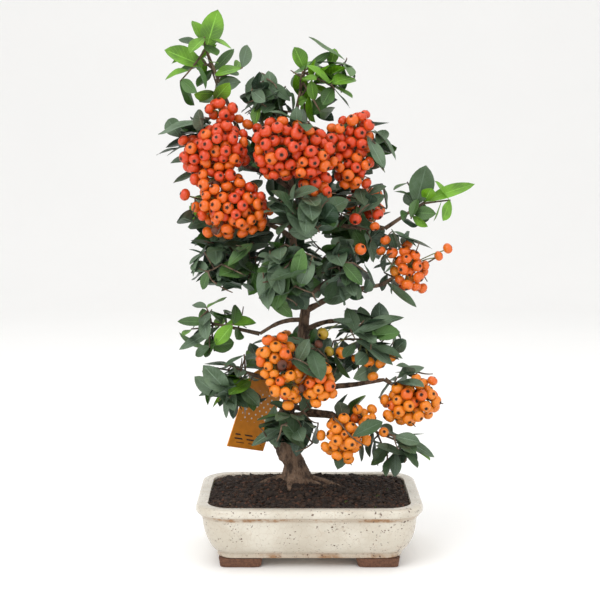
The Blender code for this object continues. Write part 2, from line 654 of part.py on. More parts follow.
def tube_rings(points, radii, sides, swell=None, heading=None):
    """Rings square to a path, the first to a heading; swell gives each ring's share of its radius by angle."""
    points = np.asarray(points, float)
    directions = np.gradient(points, axis=0)
    if heading is not None:
        directions[0] = heading
    side = across(np.array((1.0, 0.0, 0.0)), unit(directions[0]))
    rings = []
    for k, (point, radius) in enumerate(zip(points, radii)):
        along = unit(directions[k])
        side = across(side, along)
        other = np.cross(along, side)
        angles = np.arange(sides) * 2 * math.pi / sides
        share = np.ones(sides) if swell is None else swell(angles, point)
        spokes = np.cos(angles)[:, None] * side + np.sin(angles)[:, None] * other
        rings.append(point + spokes * (radius * share)[:, None])
    return rings


def applied(item):
    """The object's mesh with its modifiers, in place of the object's own."""
    graph = bpy.context.evaluated_depsgraph_get()
    graph.update()
    mesh = bpy.data.meshes.new_from_object(item.evaluated_get(graph), depsgraph=graph)
    item.modifiers.clear()
    old, item.data = item.data, mesh
    if old.users == 0:
        bpy.data.meshes.remove(old)
    return item


def largest_body(item):
    """Keeps the largest closed surface of a mesh, so that scraps and sealed hollows go. Says if it is closed."""
    form = bmesh.new()
    form.from_mesh(item.data)
    left, bodies = set(form.verts), []
    while left:
        body, edge = set(), [left.pop()]
        while edge:
            corner = edge.pop()
            body.add(corner)
            for link in corner.link_edges:
                other = link.other_vert(corner)
                if other in left:
                    left.remove(other)
                    edge.append(other)
        bodies.append(body)

    def extent(body):
        points = np.array([corner.co for corner in body])
        return np.prod(points.max(0) - points.min(0) + 1e-9)

    if not bodies:
        form.free()
        return False
    keep = max(bodies, key=extent)
    spare = [corner for corner in form.verts if corner not in keep]
    bmesh.ops.delete(form, geom=spare, context="VERTS")
    bmesh.ops.triangulate(form, faces=form.faces)
    closed = all(len(link.link_faces) == 2 for link in form.edges)
    form.to_mesh(item.data)
    form.free()
    return closed


def cut_clear(item, cutter):
    """Cuts away what lies in the cutter, and what that leaves loose."""
    cut = item.modifiers.new("clear", "BOOLEAN")
    cut.operation = "DIFFERENCE"
    cut.object = cutter
    largest_body(applied(item))
    return item


def thin(item, kept):
    """Collapses the shortest edges, most of them where pieces meet, down to a share of the faces."""
    decimate = item.modifiers.new("thin", "DECIMATE")
    decimate.ratio = kept
    return largest_body(applied(item))


def joined(name, meshes, collection, material, thinned=None):
    """One Boolean union of the meshes, by the solver that leaves it closed."""
    for solver in ("EXACT", "MANIFOLD"):
        pieces = new_collection(name + "_pieces")
        parts = [object_of(name + "_piece", mesh.copy(), pieces) for mesh in meshes]
        whole = parts[0]
        pieces.objects.unlink(whole)
        collection.objects.link(whole)
        union = whole.modifiers.new("join", "BOOLEAN")
        union.operation = "UNION"
        union.operand_type = "COLLECTION"
        union.collection = pieces
        union.solver = solver
        applied(whole)
        for part in parts[1:]:
            bpy.data.objects.remove(part)
        bpy.data.collections.remove(pieces)
        if largest_body(whole) and (not thinned or thin(whole, thinned)):
            break
        print(name, "is not closed by", solver)
        if solver == "EXACT":
            bpy.data.objects.remove(whole)
    whole.name = whole.data.name = name
    whole.data.materials.clear()
    whole.data.materials.append(material)
    return whole


def rounded_ring(inset, height, shift=(0.0, 0.0)):
    """A rounded rectangle inside the rim's outline, counter-clockwise."""
    half_x, half_y = POT_WIDTH / 2 - inset, POT_DEPTH / 2 - inset
    corner = max(RIM_CORNER - 0.75 * inset, 6.0)
    points = []
    for quarter, (sx, sy) in enumerate(((1, 1), (-1, 1), (-1, -1), (1, -1))):
        for step in range(CORNER_STEPS + 1):
            angle = math.pi / 2 * (quarter + step / CORNER_STEPS)
            points.append((sx * (half_x - corner) + corner * math.cos(angle), sy * (half_y - corner) + corner * math.sin(angle), height))
    return np.array(points) + (*shift, 0.0)


def inner_inset(height):
    heights = [row[0] for row in POT_INSIDE][::-1]
    insets = [row[1] for row in POT_INSIDE][::-1]
    return float(np.interp(height, heights, insets))


def build_pot(collection):
    glaze = new_material("cream_glaze", (0.72, 0.66, 0.54), 0.22)
    rings = [rounded_ring(inset, height) for height, inset in POT_WALL]
    rings += [rounded_ring(inset, height) for height, inset in POT_INSIDE]
    pot = object_of("pot", loft("pot", rings), collection, glaze)
    clay = new_material("brown_clay", (0.20, 0.095, 0.06), 0.8)
    for side_y, row in ((-1, "front"), (1, "back")):
        for side_x, column in ((-1, "left"), (1, "right")):
            build_foot(f"foot_{row}_{column}", side_x, side_y, collection, clay)
    return pot


def build_foot(name, side_x, side_y, collection, clay):
    """A foot: a box that narrows downwards, with rounded edges, under a corner of the pot."""
    form = bmesh.new()
    bmesh.ops.create_cube(form, size=1.0)
    height = FOOT_HEIGHT - CLEAR
    for corner in form.verts:
        narrow = 0.93 if corner.co.z < 0 else 1.0
        corner.co = Vector((corner.co.x * FOOT_SIZE[0] * narrow, corner.co.y * FOOT_SIZE[1] * narrow, corner.co.z * height)) * MM
    mesh = bpy.data.meshes.new(name)
    form.to_mesh(mesh)
    form.free()
    foot = object_of(name, mesh, collection, clay)
    bevel = foot.modifiers.new("round", "BEVEL")
    bevel.width = 1.4 * MM
    bevel.segments = 1
    applied(foot)
    place = Vector((side_x * FOOT_PLACE[0], side_y * FOOT_PLACE[1], height / 2)) * MM
    foot.data.transform(Matrix.Translation(place))
    return foot


def soil_height(share):
    """Height of the soil at a share of the way from the trunk to the wall: a flat seat, then a mound."""
    slope = min(max((share - SEAT_SHARE) / (1 - SEAT_SHARE), 0.0), 1.0)
    return SOIL_EDGE + (SOIL_SEAT - SOIL_EDGE) * (0.5 + 0.5 * math.cos(math.pi * slope**0.85))


def soil_rings(lift, foot):
    """The soil's rings from the bottom up, over the wall, and inwards to the seat under the trunk."""
    middle = np.array((TRUNK_LINE[0][0], TRUNK_LINE[0][1], 0.0))
    floor = POT_INSIDE[-1][0] + CLEAR
    rings = []
    if foot is None:
        for height in (floor, 16.4, 30.0):
            rings.append(rounded_ring(inner_inset(height) + CLEAR + (0.8 if height == floor else 0.3), height))
    else:
        rings.append(rounded_ring(0.0, foot))
    for share in SOIL_RINGS:
        edge = rounded_ring(inner_inset(SOIL_EDGE) + CLEAR + 0.2, 0.0) if foot is None or share < 1 else rounded_ring(0.0, 0.0)
        ring = middle + (edge - middle) * share
        ring[:, 2] = soil_height(share) + lift
        rings.append(ring)
    return rings


def build_soil(collection):
    earth = new_material("dark_soil", (0.035, 0.022, 0.016), 0.95)
    return object_of("soil", loft("soil", soil_rings(0.0, None)), collection, earth)


def trunk_swell(angles, point):
    """Lobes that swell towards the roots, and a slight waviness higher up."""
    near_ground = math.exp(-max(point[2] - SOIL_SEAT, 0.0) / 9.0)
    lobes = sum(np.cos(angles - math.radians(root[0])).clip(0) ** 6 for root in ROOTS)
    return 1.0 + 0.3 * near_ground * lobes + 0.06 * np.sin(3 * angles + point[2] * 0.13)


def trunk_mesh(name, extra):
    line = smooth(TRUNK_LINE, TRUNK_SECTIONS)
    return loft(name, tube_rings(line[:, :3], line[:, 3] + extra, TRUNK_SIDES, trunk_swell))


def share_at(point):
    """A point's share of the way from the trunk's foot to the soil's edge, for the mound's height."""
    middle = np.array(TRUNK_LINE[0][:2])
    edge = rounded_ring(inner_inset(SOIL_EDGE) + CLEAR + 0.2, 0.0)[:, :2]
    way = point[:2] - middle
    lengths = np.linalg.norm(edge - middle, axis=1)
    toward = ((edge - middle) / lengths[:, None]) @ (way / max(np.linalg.norm(way), 1e-6))
    return np.linalg.norm(way) / lengths[np.argmax(toward)]


def root_mesh(name, angle, length, radius):
    middle = np.array((TRUNK_LINE[0][0], TRUNK_LINE[0][1], 0.0))
    turn = math.radians(angle)
    line = []
    for share in np.linspace(0.12, 1.0, 7):
        bend = turn + 0.35 * share * math.sin(5 * turn)
        point = middle + length * share * np.array((math.cos(bend), math.sin(bend), 0.0))
        point[2] = soil_height(share_at(point)) + 3.2 * (1 - share) ** 2 + 0.2 * radius
        line.append(point)
    return loft(name, tube_rings(line, np.linspace(radius, 1.0, 7), 6))


def build_trunk(collection, cutters, bark):
    ground = object_of("ground_cutter", loft("ground_cutter", soil_rings(CLEAR, 20.0)), cutters)
    ground.display_type = "WIRE"
    meshes = [trunk_mesh("trunk_core", 0.0)]
    meshes += [root_mesh(f"root_{k}", *root) for k, root in enumerate(ROOTS)]
    trunk = cut_clear(joined("trunk", meshes, collection, bark), ground)
    trunk.data.polygons.foreach_set("use_smooth", [True] * len(trunk.data.polygons))
    return trunk


def build_bough(name, bough, collection, cutter, bark):
    """A tapering curve with filled caps, made a mesh, and cut clear of the trunk."""
    points, radii = bough_line(bough)
    curve = bpy.data.curves.new(name + "_curve", "CURVE")
    curve.dimensions = "3D"
    curve.bevel_depth = MM
    curve.bevel_resolution = 1
    curve.use_fill_caps = True
    spline = curve.splines.new("POLY")
    spline.points.add(len(points) - 1)
    for knot, point, radius in zip(spline.points, points, radii):
        knot.co = (*(point * MM), 1.0)
        knot.radius = radius
    guide = bpy.data.objects.new(name + "_curve", curve)
    collection.objects.link(guide)
    graph = bpy.context.evaluated_depsgraph_get()
    mesh = bpy.data.meshes.new_from_object(guide.evaluated_get(graph), depsgraph=graph)
    form = bmesh.new()
    form.from_mesh(mesh)
    bmesh.ops.remove_doubles(form, verts=form.verts, dist=0.01 * MM)
    bmesh.ops.recalc_face_normals(form, faces=form.faces)
    form.to_mesh(mesh)
    form.free()
    bpy.data.objects.remove(guide)
    limb = object_of(name, mesh, collection, bark)
    cut_clear(limb, cutter)
    limb.data.polygons.foreach_set("use_smooth", [True] * len(limb.data.polygons))
    return limb


def leaf_mesh(leaf):
    """A leaf as a flat six-sided base under a low ridge."""
    rim = leaf.place(LEAF_OUTLINE)
    ridge = leaf.place(((0.55, 0.0),), LEAF_THICKNESS)
    faces = [[0, 1, 2, 3, 4, 5]] + [[6, (k + 1) % 6, k] for k in range(6)]
    return mesh_of("leaf", np.vstack([rim, ridge]), faces)


def ball_mesh(middle, radii, outwards=(0.0, 0.0, 1.0)):
    """A coarse ball with a pole outwards, so that only its other pole is sunk in what carries it."""
    form = bmesh.new()
    bmesh.ops.create_uvsphere(form, u_segments=5, v_segments=3, radius=1.0)
    turn = Vector((0.0, 0.0, 1.0)).rotation_difference(Vector(outwards)).to_matrix()
    for corner in form.verts:
        corner.co = Vector((np.array(turn @ corner.co) * radii + middle) * MM)
    mesh = bpy.data.meshes.new("fruit")
    form.to_mesh(mesh)
    form.free()
    return mesh


def core_mesh(corners):
    """The skin over a core's rings, with a point at each end."""
    top, low = 0, len(corners) - 1
    faces = []
    for k in range(CORE_SIDES):
        after = (k + 1) % CORE_SIDES
        faces.append([top, 1 + k, 1 + after])
        faces.append([low, low - CORE_SIDES + after, low - CORE_SIDES + k])
        for ring in range(CORE_RINGS - 1):
            first = 1 + ring * CORE_SIDES
            faces.append([first + k, first + CORE_SIDES + k, first + CORE_SIDES + after, first + after])
    return mesh_of("core", corners, faces)


def build_mass(index, name, limbs, collection, cutter, green):
    growth = Growth(index, limbs).grow()
    (line, radii), *twigs = growth.twigs
    meshes = [loft("stem", tube_rings(line, radii, TWIG_SIDES, heading=carrier_end(growth.mass)[1]))]
    meshes += [loft("twig", tube_rings(line, radii, TWIG_SIDES)) for line, radii in twigs]
    meshes += [core_mesh(growth.core)] if growth.core is not None else []
    meshes += [ball_mesh(middle, radii) for middle, radii in growth.cores]
    meshes += [ball_mesh(point, np.full(3, FRUIT_RADIUS), way) for point, way in growth.fruit]
    meshes += [leaf_mesh(leaf) for leaf in growth.leaves]
    if not isinstance(growth.mass.carrier, str):
        stem = cut_clear(object_of("stem", meshes[0], collection), cutter)
        meshes[0] = stem.data
        bpy.data.objects.remove(stem)
    mass = joined(name, meshes, collection, green, KEPT_FACES)
    for mesh in meshes:
        bpy.data.meshes.remove(mesh)
    print(f"{name}: {len(growth.leaves)} leaves, {len(growth.fruit)} fruit, {len(mass.data.polygons)} faces")
    return mass


def build_label(collection):
    """A flat plate with cut corners and a hole."""
    orange = new_material("orange_label", (0.78, 0.27, 0.02), 0.5)
    width, height, thickness = LABEL_SIZE
    curve = bpy.data.curves.new("label_curve", "CURVE")
    curve.dimensions = "2D"
    curve.fill_mode = "BOTH"
    curve.extrude = thickness / 2 * MM
    corners = ((0.0, 0.0), (width, 0.0), (width, height - 5), (width - 6, height), (6, height), (0.0, height - 5))
    add_loop(curve, corners)
    hole = [(width / 2 + LABEL_HOLE * math.cos(a), height - 5 + LABEL_HOLE * math.sin(a)) for a in np.arange(8) * math.pi / 4]
    add_loop(curve, hole[::-1])
    guide = bpy.data.objects.new("label_curve", curve)
    collection.objects.link(guide)
    graph = bpy.context.evaluated_depsgraph_get()
    mesh = bpy.data.meshes.new_from_object(guide.evaluated_get(graph), depsgraph=graph)
    bpy.data.objects.remove(guide)
    x_axis, y_axis = Vector(LABEL_ACROSS).normalized(), Vector(LABEL_UP).normalized()
    turn = Matrix((x_axis, y_axis, x_axis.cross(y_axis))).transposed().to_4x4()
    mesh.transform(Matrix.Translation(Vector(LABEL_CORNER) * MM) @ turn)
    form = bmesh.new()
    form.from_mesh(mesh)
    bmesh.ops.remove_doubles(form, verts=form.verts, dist=0.001 * MM)
    bmesh.ops.recalc_face_normals(form, faces=form.faces)
    form.to_mesh(mesh)
    form.free()
    return object_of("label", mesh, collection, orange)


def build_wire(collection):
    steel = new_material("wire", (0.30, 0.26, 0.20), 0.45, 0.8)
    line = wire_line()
    return object_of("label_wire", loft("label_wire", tube_rings(line, np.full(len(line), WIRE_RADIUS), 6)), collection, steel)


def add_loop(curve, corners):
    spline = curve.splines.new("POLY")
    spline.points.add(len(corners) - 1)
    for knot, (x, y) in zip(spline.points, corners):
        knot.co = (x * MM, y * MM, 0.0, 1.0)
    spline.use_cyclic_u = True


def centre_on_origin(collection):
    """Moves every object so that the middle of the whole box's underside is the origin."""
    points = np.array([corner.co for item in collection.objects for corner in item.data.vertices])
    low, high = points.min(0), points.max(0)
    shift = Matrix.Translation((-(low[0] + high[0]) / 2, -(low[1] + high[1]) / 2, -low[2]))
    for item in collection.objects:
        item.data.transform(shift)
    print("moved by", [round(1000 * value, 2) for value in shift.translation])


def main():
    clear_scene()
    parts = new_collection("scarlet_firethorn_bonsai")
    cutters = new_collection("cutters", hidden=True)
    bark = new_material("bark", (0.16, 0.095, 0.06), 0.9)
    green = new_material("foliage", (0.06, 0.14, 0.05), 0.6)
    build_pot(parts)
    build_soil(parts)
    build_trunk(parts, cutters, bark)
    inflated = object_of("trunk_cutter", trunk_mesh("trunk_cutter", CLEAR), cutters)
    inflated.display_type = "WIRE"
    for name, bough in BOUGHS.items():
        build_bough(name, bough, parts, inflated, bark)
    limbs = all_limbs()
    for index, name in enumerate(MASSES):
        build_mass(index, name, limbs, parts, inflated, green)
    build_label(parts)
    build_wire(parts)
    for item in cutters.objects:
        item.hide_render = True
    centre_on_origin(parts)


main()
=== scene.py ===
"""Looks of the scarlet firethorn bonsai: bark, twigs, leaves, fruit, glazed pot, soil, label and studio.

Sizes are millimetres, measured from the middle of the pot at the height it stands on; SHIFT moves them to
the part's own frame and MM makes them metres.
"""

import functools
import math
from typing import NamedTuple

import bpy
import numpy as np
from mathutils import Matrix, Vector


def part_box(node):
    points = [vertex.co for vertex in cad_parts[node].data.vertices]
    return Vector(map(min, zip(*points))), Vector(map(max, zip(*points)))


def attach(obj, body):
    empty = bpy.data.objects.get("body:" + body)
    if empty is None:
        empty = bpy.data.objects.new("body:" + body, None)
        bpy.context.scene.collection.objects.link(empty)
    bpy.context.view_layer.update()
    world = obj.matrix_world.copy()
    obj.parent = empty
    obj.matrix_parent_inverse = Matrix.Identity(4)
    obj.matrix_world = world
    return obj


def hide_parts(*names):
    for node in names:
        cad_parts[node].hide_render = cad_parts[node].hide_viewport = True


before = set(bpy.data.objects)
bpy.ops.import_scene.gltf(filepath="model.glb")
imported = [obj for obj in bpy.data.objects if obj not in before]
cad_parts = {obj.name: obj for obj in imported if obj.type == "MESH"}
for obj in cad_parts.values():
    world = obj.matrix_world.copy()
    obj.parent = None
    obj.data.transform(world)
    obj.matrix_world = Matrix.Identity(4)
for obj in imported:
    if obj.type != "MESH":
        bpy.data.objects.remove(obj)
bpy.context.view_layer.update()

bl_info = {
    "name": "Firethorn bonsai",
    "version": (1, 0, 0),
    "blender": (4, 5, 0),
    "location": "3D View > Sidebar > Firethorn",
    "description": "Builds the pieces of a potted firethorn bonsai and its studio",
    "category": "Add Mesh",
}

MM = 0.001
CLEAR = 0.3
# Pot and feet
POT_WIDTH = 150.0
POT_DEPTH = 110.0
FOOT_HEIGHT = 6.5
FOOT_SIZE = (29.0, 17.0)
FOOT_PLACE = (45.3, 32.2)
RIM_CORNER = 22.0
CORNER_STEPS = 4
# The outer wall from the bottom up: height, how far inside the rim's edge
POT_WALL = (
    (6.5, 14.8), (7.2, 13.8), (10.0, 13.4), (11.0, 11.8), (15.0, 8.8), (21.0, 6.2), (28.0, 4.6),
    (34.0, 3.9), (34.8, 2.6), (36.0, 2.2), (36.8, 0.6), (38.5, 0.0), (41.0, 0.3), (42.0, 1.6),
)
# The inner wall from the top down, the same way
POT_INSIDE = ((42.0, 6.8), (40.8, 8.0), (30.0, 9.6), (16.0, 14.5), (12.0, 20.0))
# Soil
SOIL_EDGE = 39.6
SOIL_SEAT = 48.0
SEAT_SHARE = 0.2
# Trunk: x, y, z of the middle line, and the radius
TRUNK_LINE = (
    (-8.3, 0.0, 44.0, 10.5), (-8.8, 0.0, 52.0, 8.6), (-10.6, 0.0, 61.0, 6.9), (-17.1, -2.0, 72.4, 6.2),
    (-20.5, -3.0, 81.6, 5.6), (-17.7, -2.0, 90.3, 5.3), (-13.0, 0.0, 101.7, 5.1), (-8.2, 2.0, 117.8, 4.6),
    (-4.8, 3.0, 136.9, 3.8), (-4.2, 3.0, 154.7, 3.3), (-2.8, 2.0, 170.5, 2.9), (-5.5, 2.0, 187.4, 2.6),
    (-10.2, 3.0, 206.3, 2.4), (-12.3, 4.0, 227.8, 2.2), (-12.2, 4.0, 251.9, 1.9), (-13.6, 3.0, 273.2, 1.6),
    (-14.9, 2.0, 289.1, 1.3),
)
# Roots that run out over the soil: angle in degrees, length, radius at the trunk
ROOTS = ((-9.0, 34.0, 3.6), (-55.0, 25.0, 3.3), (-121.0, 22.0, 3.5), (173.0, 26.0, 3.7), (93.0, 24.0, 3.1))
# Label and its wire
LABEL_CORNER = (-56.8, 15.0, 69.3)
LABEL_ACROSS = (0.766, 0.595, -0.244)
LABEL_UP = (0.304, 0.0, 0.953)
LABEL_SIZE = (31.6, 56.9, 0.9)
HOLE_DROP = 5.0
LABEL_GUARDS = (0.12, 0.37, 0.63, 0.88)
GUARD_RADIUS = 4.0
WIRE_GUARD = 0.6
WIRE_RADIUS = 0.45
WIRE_BOUGH = "bough_back_low"
WIRE_SHARE = 0.72
# Leaves, fruit and twigs
SEED = 41
FRUIT_RADIUS = 4.7
FRUIT_SPACING = 12.0
CORE_SIDES = 7
CORE_RINGS = 4
CORE_LEAVES = 14
CORE_SUNK = 1.6
TWIG_RADIUS = 0.85
STEM_RADIUS = 1.4
STEM_GAP = 0.36
LEAF_MARGIN = 0.45
LEAF_GAP = 1.5
LEAF_REACH = 1.22
TWIG_GAP = 1.6
LEAF_TURNS = 24
LEAVES_ON_TWIG = 3
LEAST_TWIG = 5.0
# Gaps to other limbs and to fruit
LIMB_GAP = 0.8
FRUIT_GAP = 0.6
# Directions tried for the core, and how wide a cone of them shapes one corner
CORE_PROBES = 140
CORE_CONE = math.radians(46)
GOLDEN_TURN = 2.4
# Radii at both ends of a twig and of the stalks of a cluster, of a single fruit and of a leaf
TWIG_RADII, CLUSTER_RADII, SINGLE_RADII, LEAF_RADII = (0.8, 0.7), (1.0, 0.8), (0.7, 0.7), (0.7, 0.55)


class Bough(NamedTuple):
    """A limb from the trunk, at a height, to a tip, raised by lift in its middle."""

    height: float
    tip: tuple
    lift: float
    base_radius: float
    tip_radius: float


class Mass(NamedTuple):
    """Foliage round a stem that runs on from a bough, or from the trunk at a height, to a tip."""

    centre: tuple
    size: float
    reach: tuple
    carrier: object
    tip: tuple
    twigs: int
    leaf: float
    core: float = 0.0


BOUGHS = {
    "bough_top_left": Bough(262.0, (-46.0, -3.0, 284.0), 2.0, 1.7, 1.2),
    "bough_high_left": Bough(247.0, (-41.0, -13.0, 262.0), 2.0, 1.7, 1.2),
    "bough_low_left": Bough(214.0, (-34.0, -13.0, 226.0), 2.0, 1.8, 1.3),
    "bough_centre": Bough(256.0, (-12.0, -15.0, 263.0), 1.5, 1.6, 1.2),
    "bough_high_right": Bough(259.0, (10.0, -6.0, 267.0), 2.0, 1.6, 1.2),
    "bough_left": Bough(182.0, (-31.0, -8.0, 192.0), 2.0, 1.9, 1.3),
    "bough_right_upper": Bough(238.0, (20.0, -3.0, 237.0), 1.5, 1.6, 1.2),
    "bough_right_shoot": Bough(229.0, (50.0, -4.0, 221.0), -2.0, 1.7, 1.1),
    "bough_right_far": Bough(165.0, (48.0, -11.0, 184.0), 3.0, 2.3, 1.3),
    "bough_right_row": Bough(151.0, (26.0, -9.0, 159.0), 3.0, 2.0, 1.2),
    "bough_left_shoot": Bough(159.0, (-33.0, -8.0, 151.0), 3.0, 1.7, 1.1),
    "bough_left_lowest": Bough(109.0, (-31.0, -8.0, 121.0), 2.0, 2.0, 1.3),
    "bough_front_low": Bough(128.0, (-12.0, -19.0, 129.0), 2.0, 1.9, 1.3),
    "bough_right_low": Bough(111.0, (50.0, -15.0, 121.0), -1.0, 2.4, 1.3),
    "bough_right_bottom": Bough(101.0, (14.0, -19.0, 99.0), -1.0, 2.1, 1.3),
    "bough_right_under": Bough(94.0, (36.0, -13.0, 91.0), 2.5, 1.9, 1.2),
    "bough_back_top": Bough(250.0, (-16.0, 17.0, 257.0), 1.0, 1.6, 1.2),
    "bough_back_left": Bough(222.0, (-33.0, 13.0, 224.0), 1.5, 1.6, 1.2),
    "bough_back_right": Bough(219.5, (11.0, 16.0, 227.0), 1.5, 1.6, 1.2),
    "bough_back_middle": Bough(190.0, (-6.0, 18.0, 194.0), 1.0, 1.7, 1.2),
    "bough_back_low": Bough(124.0, (-14.0, 20.0, 128.0), 1.5, 1.9, 1.3),
}
MASSES = {
    "shoot_top_left": Mass((-66, -5, 322), 24, (26, 16, 32), "bough_top_left", (-70, -5, 344), 6, 19),
    "crown_top": Mass((-26, -1, 304), 22, (28, 20, 22), "trunk", (-34, 0, 307), 5, 20, 0.5),
    "tuft_top_right": Mass((6, 3, 314), 22, (26, 18, 26), 275.0, (-3, 4, 326), 9, 19),
    "fruit_high_left": Mass(
        (-62, -15, 275), 27, (32, 28, 28), "bough_high_left", (-54, -15, 271), 4, 20, 0.6
    ),
    "fruit_low_left": Mass((-52, -17, 237), 26, (32, 30, 26), "bough_low_left", (-45, -17, 232), 4, 20, 0.6),
    "fruit_centre": Mass((-10, -26, 272), 27, (28, 28, 26), "bough_centre", (-10, -23, 269), 3, 21, 0.55),
    "fruit_high_right": Mass((28, -8, 270), 26, (26, 24, 28), "bough_high_right", (20, -8, 271), 4, 19, 0.5),
    "leaves_front_high": Mass((-5, -28, 236), 23, (30, 26, 23), 228.0, (-5, -28, 238), 4, 21, 0.66),
    "leaves_left": Mass((-48, -14, 200), 25, (28, 24, 25), "bough_left", (-48, -14, 202), 4, 20, 0.66),
    "leaves_front": Mass((-13, -28, 194), 23, (26, 26, 24), 179.0, (-14, -28, 197), 4, 22, 0.64),
    "leaves_right": Mass((23, -18, 196), 22, (24, 22, 24), 173.0, (23, -17, 197), 4, 20, 0.62),
    "shoot_right": Mass((76, -6, 240), 24, (20, 14, 20), "bough_right_shoot", (77, -5, 239), 3, 18),
    "leaves_right_upper": Mass(
        (37, -6, 238), 21, (22, 20, 21), "bough_right_upper", (39, -7, 239), 4, 19, 0.6
    ),
    "fruit_right": Mass((62, -12, 203), 24, (26, 19, 26), "bough_right_far", (61, -12, 192), 6, 18, 0.35),
    "shoot_left": Mass((-60, -12, 154), 24, (22, 17, 20), "bough_left_shoot", (-67, -12, 159), 7, 18),
    "leaves_left_low": Mass(
        (-48, -14, 123), 24, (23, 18, 24), "bough_left_lowest", (-46, -13, 127), 4, 20, 0.55
    ),
    "fruit_front_low": Mass((-10, -30, 127), 27, (27, 24, 24), "bough_front_low", (-9, -26, 128), 4, 20, 0.6),
    "leaves_front_low": Mass((-10, -22, 95), 22, (25, 22, 20), 98.0, (-8, -22, 97), 5, 22, 0.45),
    "fruit_right_row": Mass((36, -17, 146), 24, (25, 20, 22), "bough_right_row", (36, -15, 147), 5, 19, 0.55),
    "fruit_right_low": Mass((67, -17, 109), 25, (23, 20, 22), "bough_right_low", (60, -16, 115), 5, 19, 0.4),
    "fruit_bottom": Mass((27, -29, 89), 22, (24, 22, 21), "bough_right_bottom", (20, -23, 97), 4, 20, 0.5),
    "leaves_bottom_right": Mass(
        (57, -19, 79), 20, (22, 18, 20), "bough_right_under", (48, -17, 84), 5, 21, 0.45
    ),
    "back_top": Mass((-17, 29, 268), 28, (32, 22, 28), "bough_back_top", (-18, 28, 266), 4, 21, 0.68),
    "back_left": Mass((-52, 21, 223), 27, (26, 22, 28), "bough_back_left", (-49, 20, 226), 4, 21, 0.62),
    "back_right": Mass((30, 25, 225), 27, (27, 22, 28), "bough_back_right", (28, 24, 227), 4, 21, 0.66),
    "back_middle": Mass((-8, 33, 192), 24, (30, 21, 22), "bough_back_middle", (-6, 31, 194), 4, 21, 0.66),
    "back_low": Mass((-8, 30, 125), 26, (30, 21, 25), "bough_back_low", (-9, 29, 127), 4, 21, 0.62),
}
# Fruit clusters: middle, and how far the fruit's middles lie from it along each axis
FRUIT_CLUSTERS = (
    ((-58, -17, 297), (6, 5, 4)),
    ((-74, -22, 271), (5, 6, 8)),
    ((-57, -25, 274), (13, 11, 12)),
    ((-61, -28, 254), (11, 5, 4)),
    ((-50, -28, 235), (20, 13, 14)),
    ((-19, -35, 273), (13, 11, 15)),
    ((0, -34, 269), (11, 10, 12)),
    ((5, -30, 251), (6, 6, 6)),
    ((15, -17, 278), (6, 6, 6)),
    ((31, -13, 284), (5, 6, 12)),
    ((27, -17, 261), (8, 8, 9)),
    ((66, -14, 196), (6, 7, 11)),
    ((-22, -38, 138), (7, 7, 13)),
    ((-13, -39, 121), (7, 7, 8)),
    ((6, -38, 122), (7, 7, 10)),
    ((62, -22, 105), (9, 9, 9)),
    ((75, -20, 110), (7, 7, 10)),
    ((22, -36, 86), (10, 9, 10)),
    ((36, -30, 98), (4, 5, 6)),
    ((-56, 29, 232), (8, 8, 8)),
    ((38, 33, 236), (8, 8, 9)),
    ((-14, 42, 130), (8, 7, 8)),
    ((-22, 40, 273), (8, 7, 8)),
)
# Fruit that hangs by itself on its own stalk
FRUIT_SINGLES = (
    (-46, -12, 293), (-41, -12, 290), (-34, -14, 287), (-81, -24, 244), (30, -19, 228), (45, -14, 231),
    (43, -16, 223), (50, -16, 214), (47, -18, 207), (55, -17, 205), (33, -30, 209), (74, -12, 182),
    (86, -8, 203), (92, -8, 208), (6, -31, 147), (9, -24, 153), (13, -22, 141), (21, -23, 140),
    (31, -23, 136), (39, -23, 134), (47, -22, 133), (55, -19, 137), (42, -21, 124), (49, -28, 88),
)
# Leaves that stand out of the crown's outline: base, tip, width
OUTLINE_LEAVES = (
    ((-68, -5, 338), (-60, -9, 364), 15), ((-69, -5, 328), (-95, -9, 338), 14),
    ((-72, -5, 342), (-87, 2, 347), 6), ((-64, -3, 324), (-50, 8, 341), 7),
    ((-60, -5, 314), (-39, -10, 330), 13), ((-63, -6, 308), (-83, -12, 300), 10),
    ((-25, -12, 286), (-26, -15, 312), 14), ((3, -12, 290), (-14, -16, 307), 13),
    ((-3, 5, 326), (-10, 2, 341), 11), ((-2, 5, 326), (14, 5, 339), 6),
    ((71, -6, 237), (77, -12, 262), 17), ((76, -6, 239), (109, -8, 253), 9),
    ((54, -8, 225), (71, -14, 217), 7), ((51, -14, 186), (71, -18, 170), 6),
    ((-66, -12, 159), (-88, -12, 160), 7), ((-60, -12, 156), (-87, -14, 141), 7),
    ((-44, -12, 150), (-67, -18, 144), 13), ((-51, -12, 127), (-64, -14, 103), 9),
    ((-13, -26, 95), (-39, -30, 80), 7), ((16, -27, 101), (-2, -34, 74), 13),
    ((43, -36, 80), (37, -40, 57), 17), ((57, -24, 86), (84, -22, 70), 7),
    ((50, -26, 81), (68, -26, 59), 8), ((-17, -40, 181), (-13, -46, 150), 16),
    ((32, -16, 159), (49, -18, 152), 13), ((-38, -42, 259), (-23, -50, 283), 9),
)
CENTRES = np.array([mass.centre for mass in MASSES.values()], float)
SIZES = np.array([mass.size for mass in MASSES.values()], float)


def unit(vector):
    """A vector at length 1."""
    vector = np.asarray(vector, float)
    return vector / np.linalg.norm(vector)


def across(vector, direction):
    """The part of a vector that is square to a direction, at length 1."""
    rest = vector - np.dot(vector, direction) * direction
    return unit(rest) if np.linalg.norm(rest) > 1e-6 else unit(np.cross(direction, (0.31, 0.85, 0.43)))


def bent(start, tip, lift, count):
    """Points along a quadratic curve from start to tip, raised by lift at its middle."""
    share = np.linspace(0.0, 1.0, count)[:, None]
    straight = start + (tip - start) * share
    return straight + 4.0 * share * (1.0 - share) * np.array((0.0, 0.0, lift))


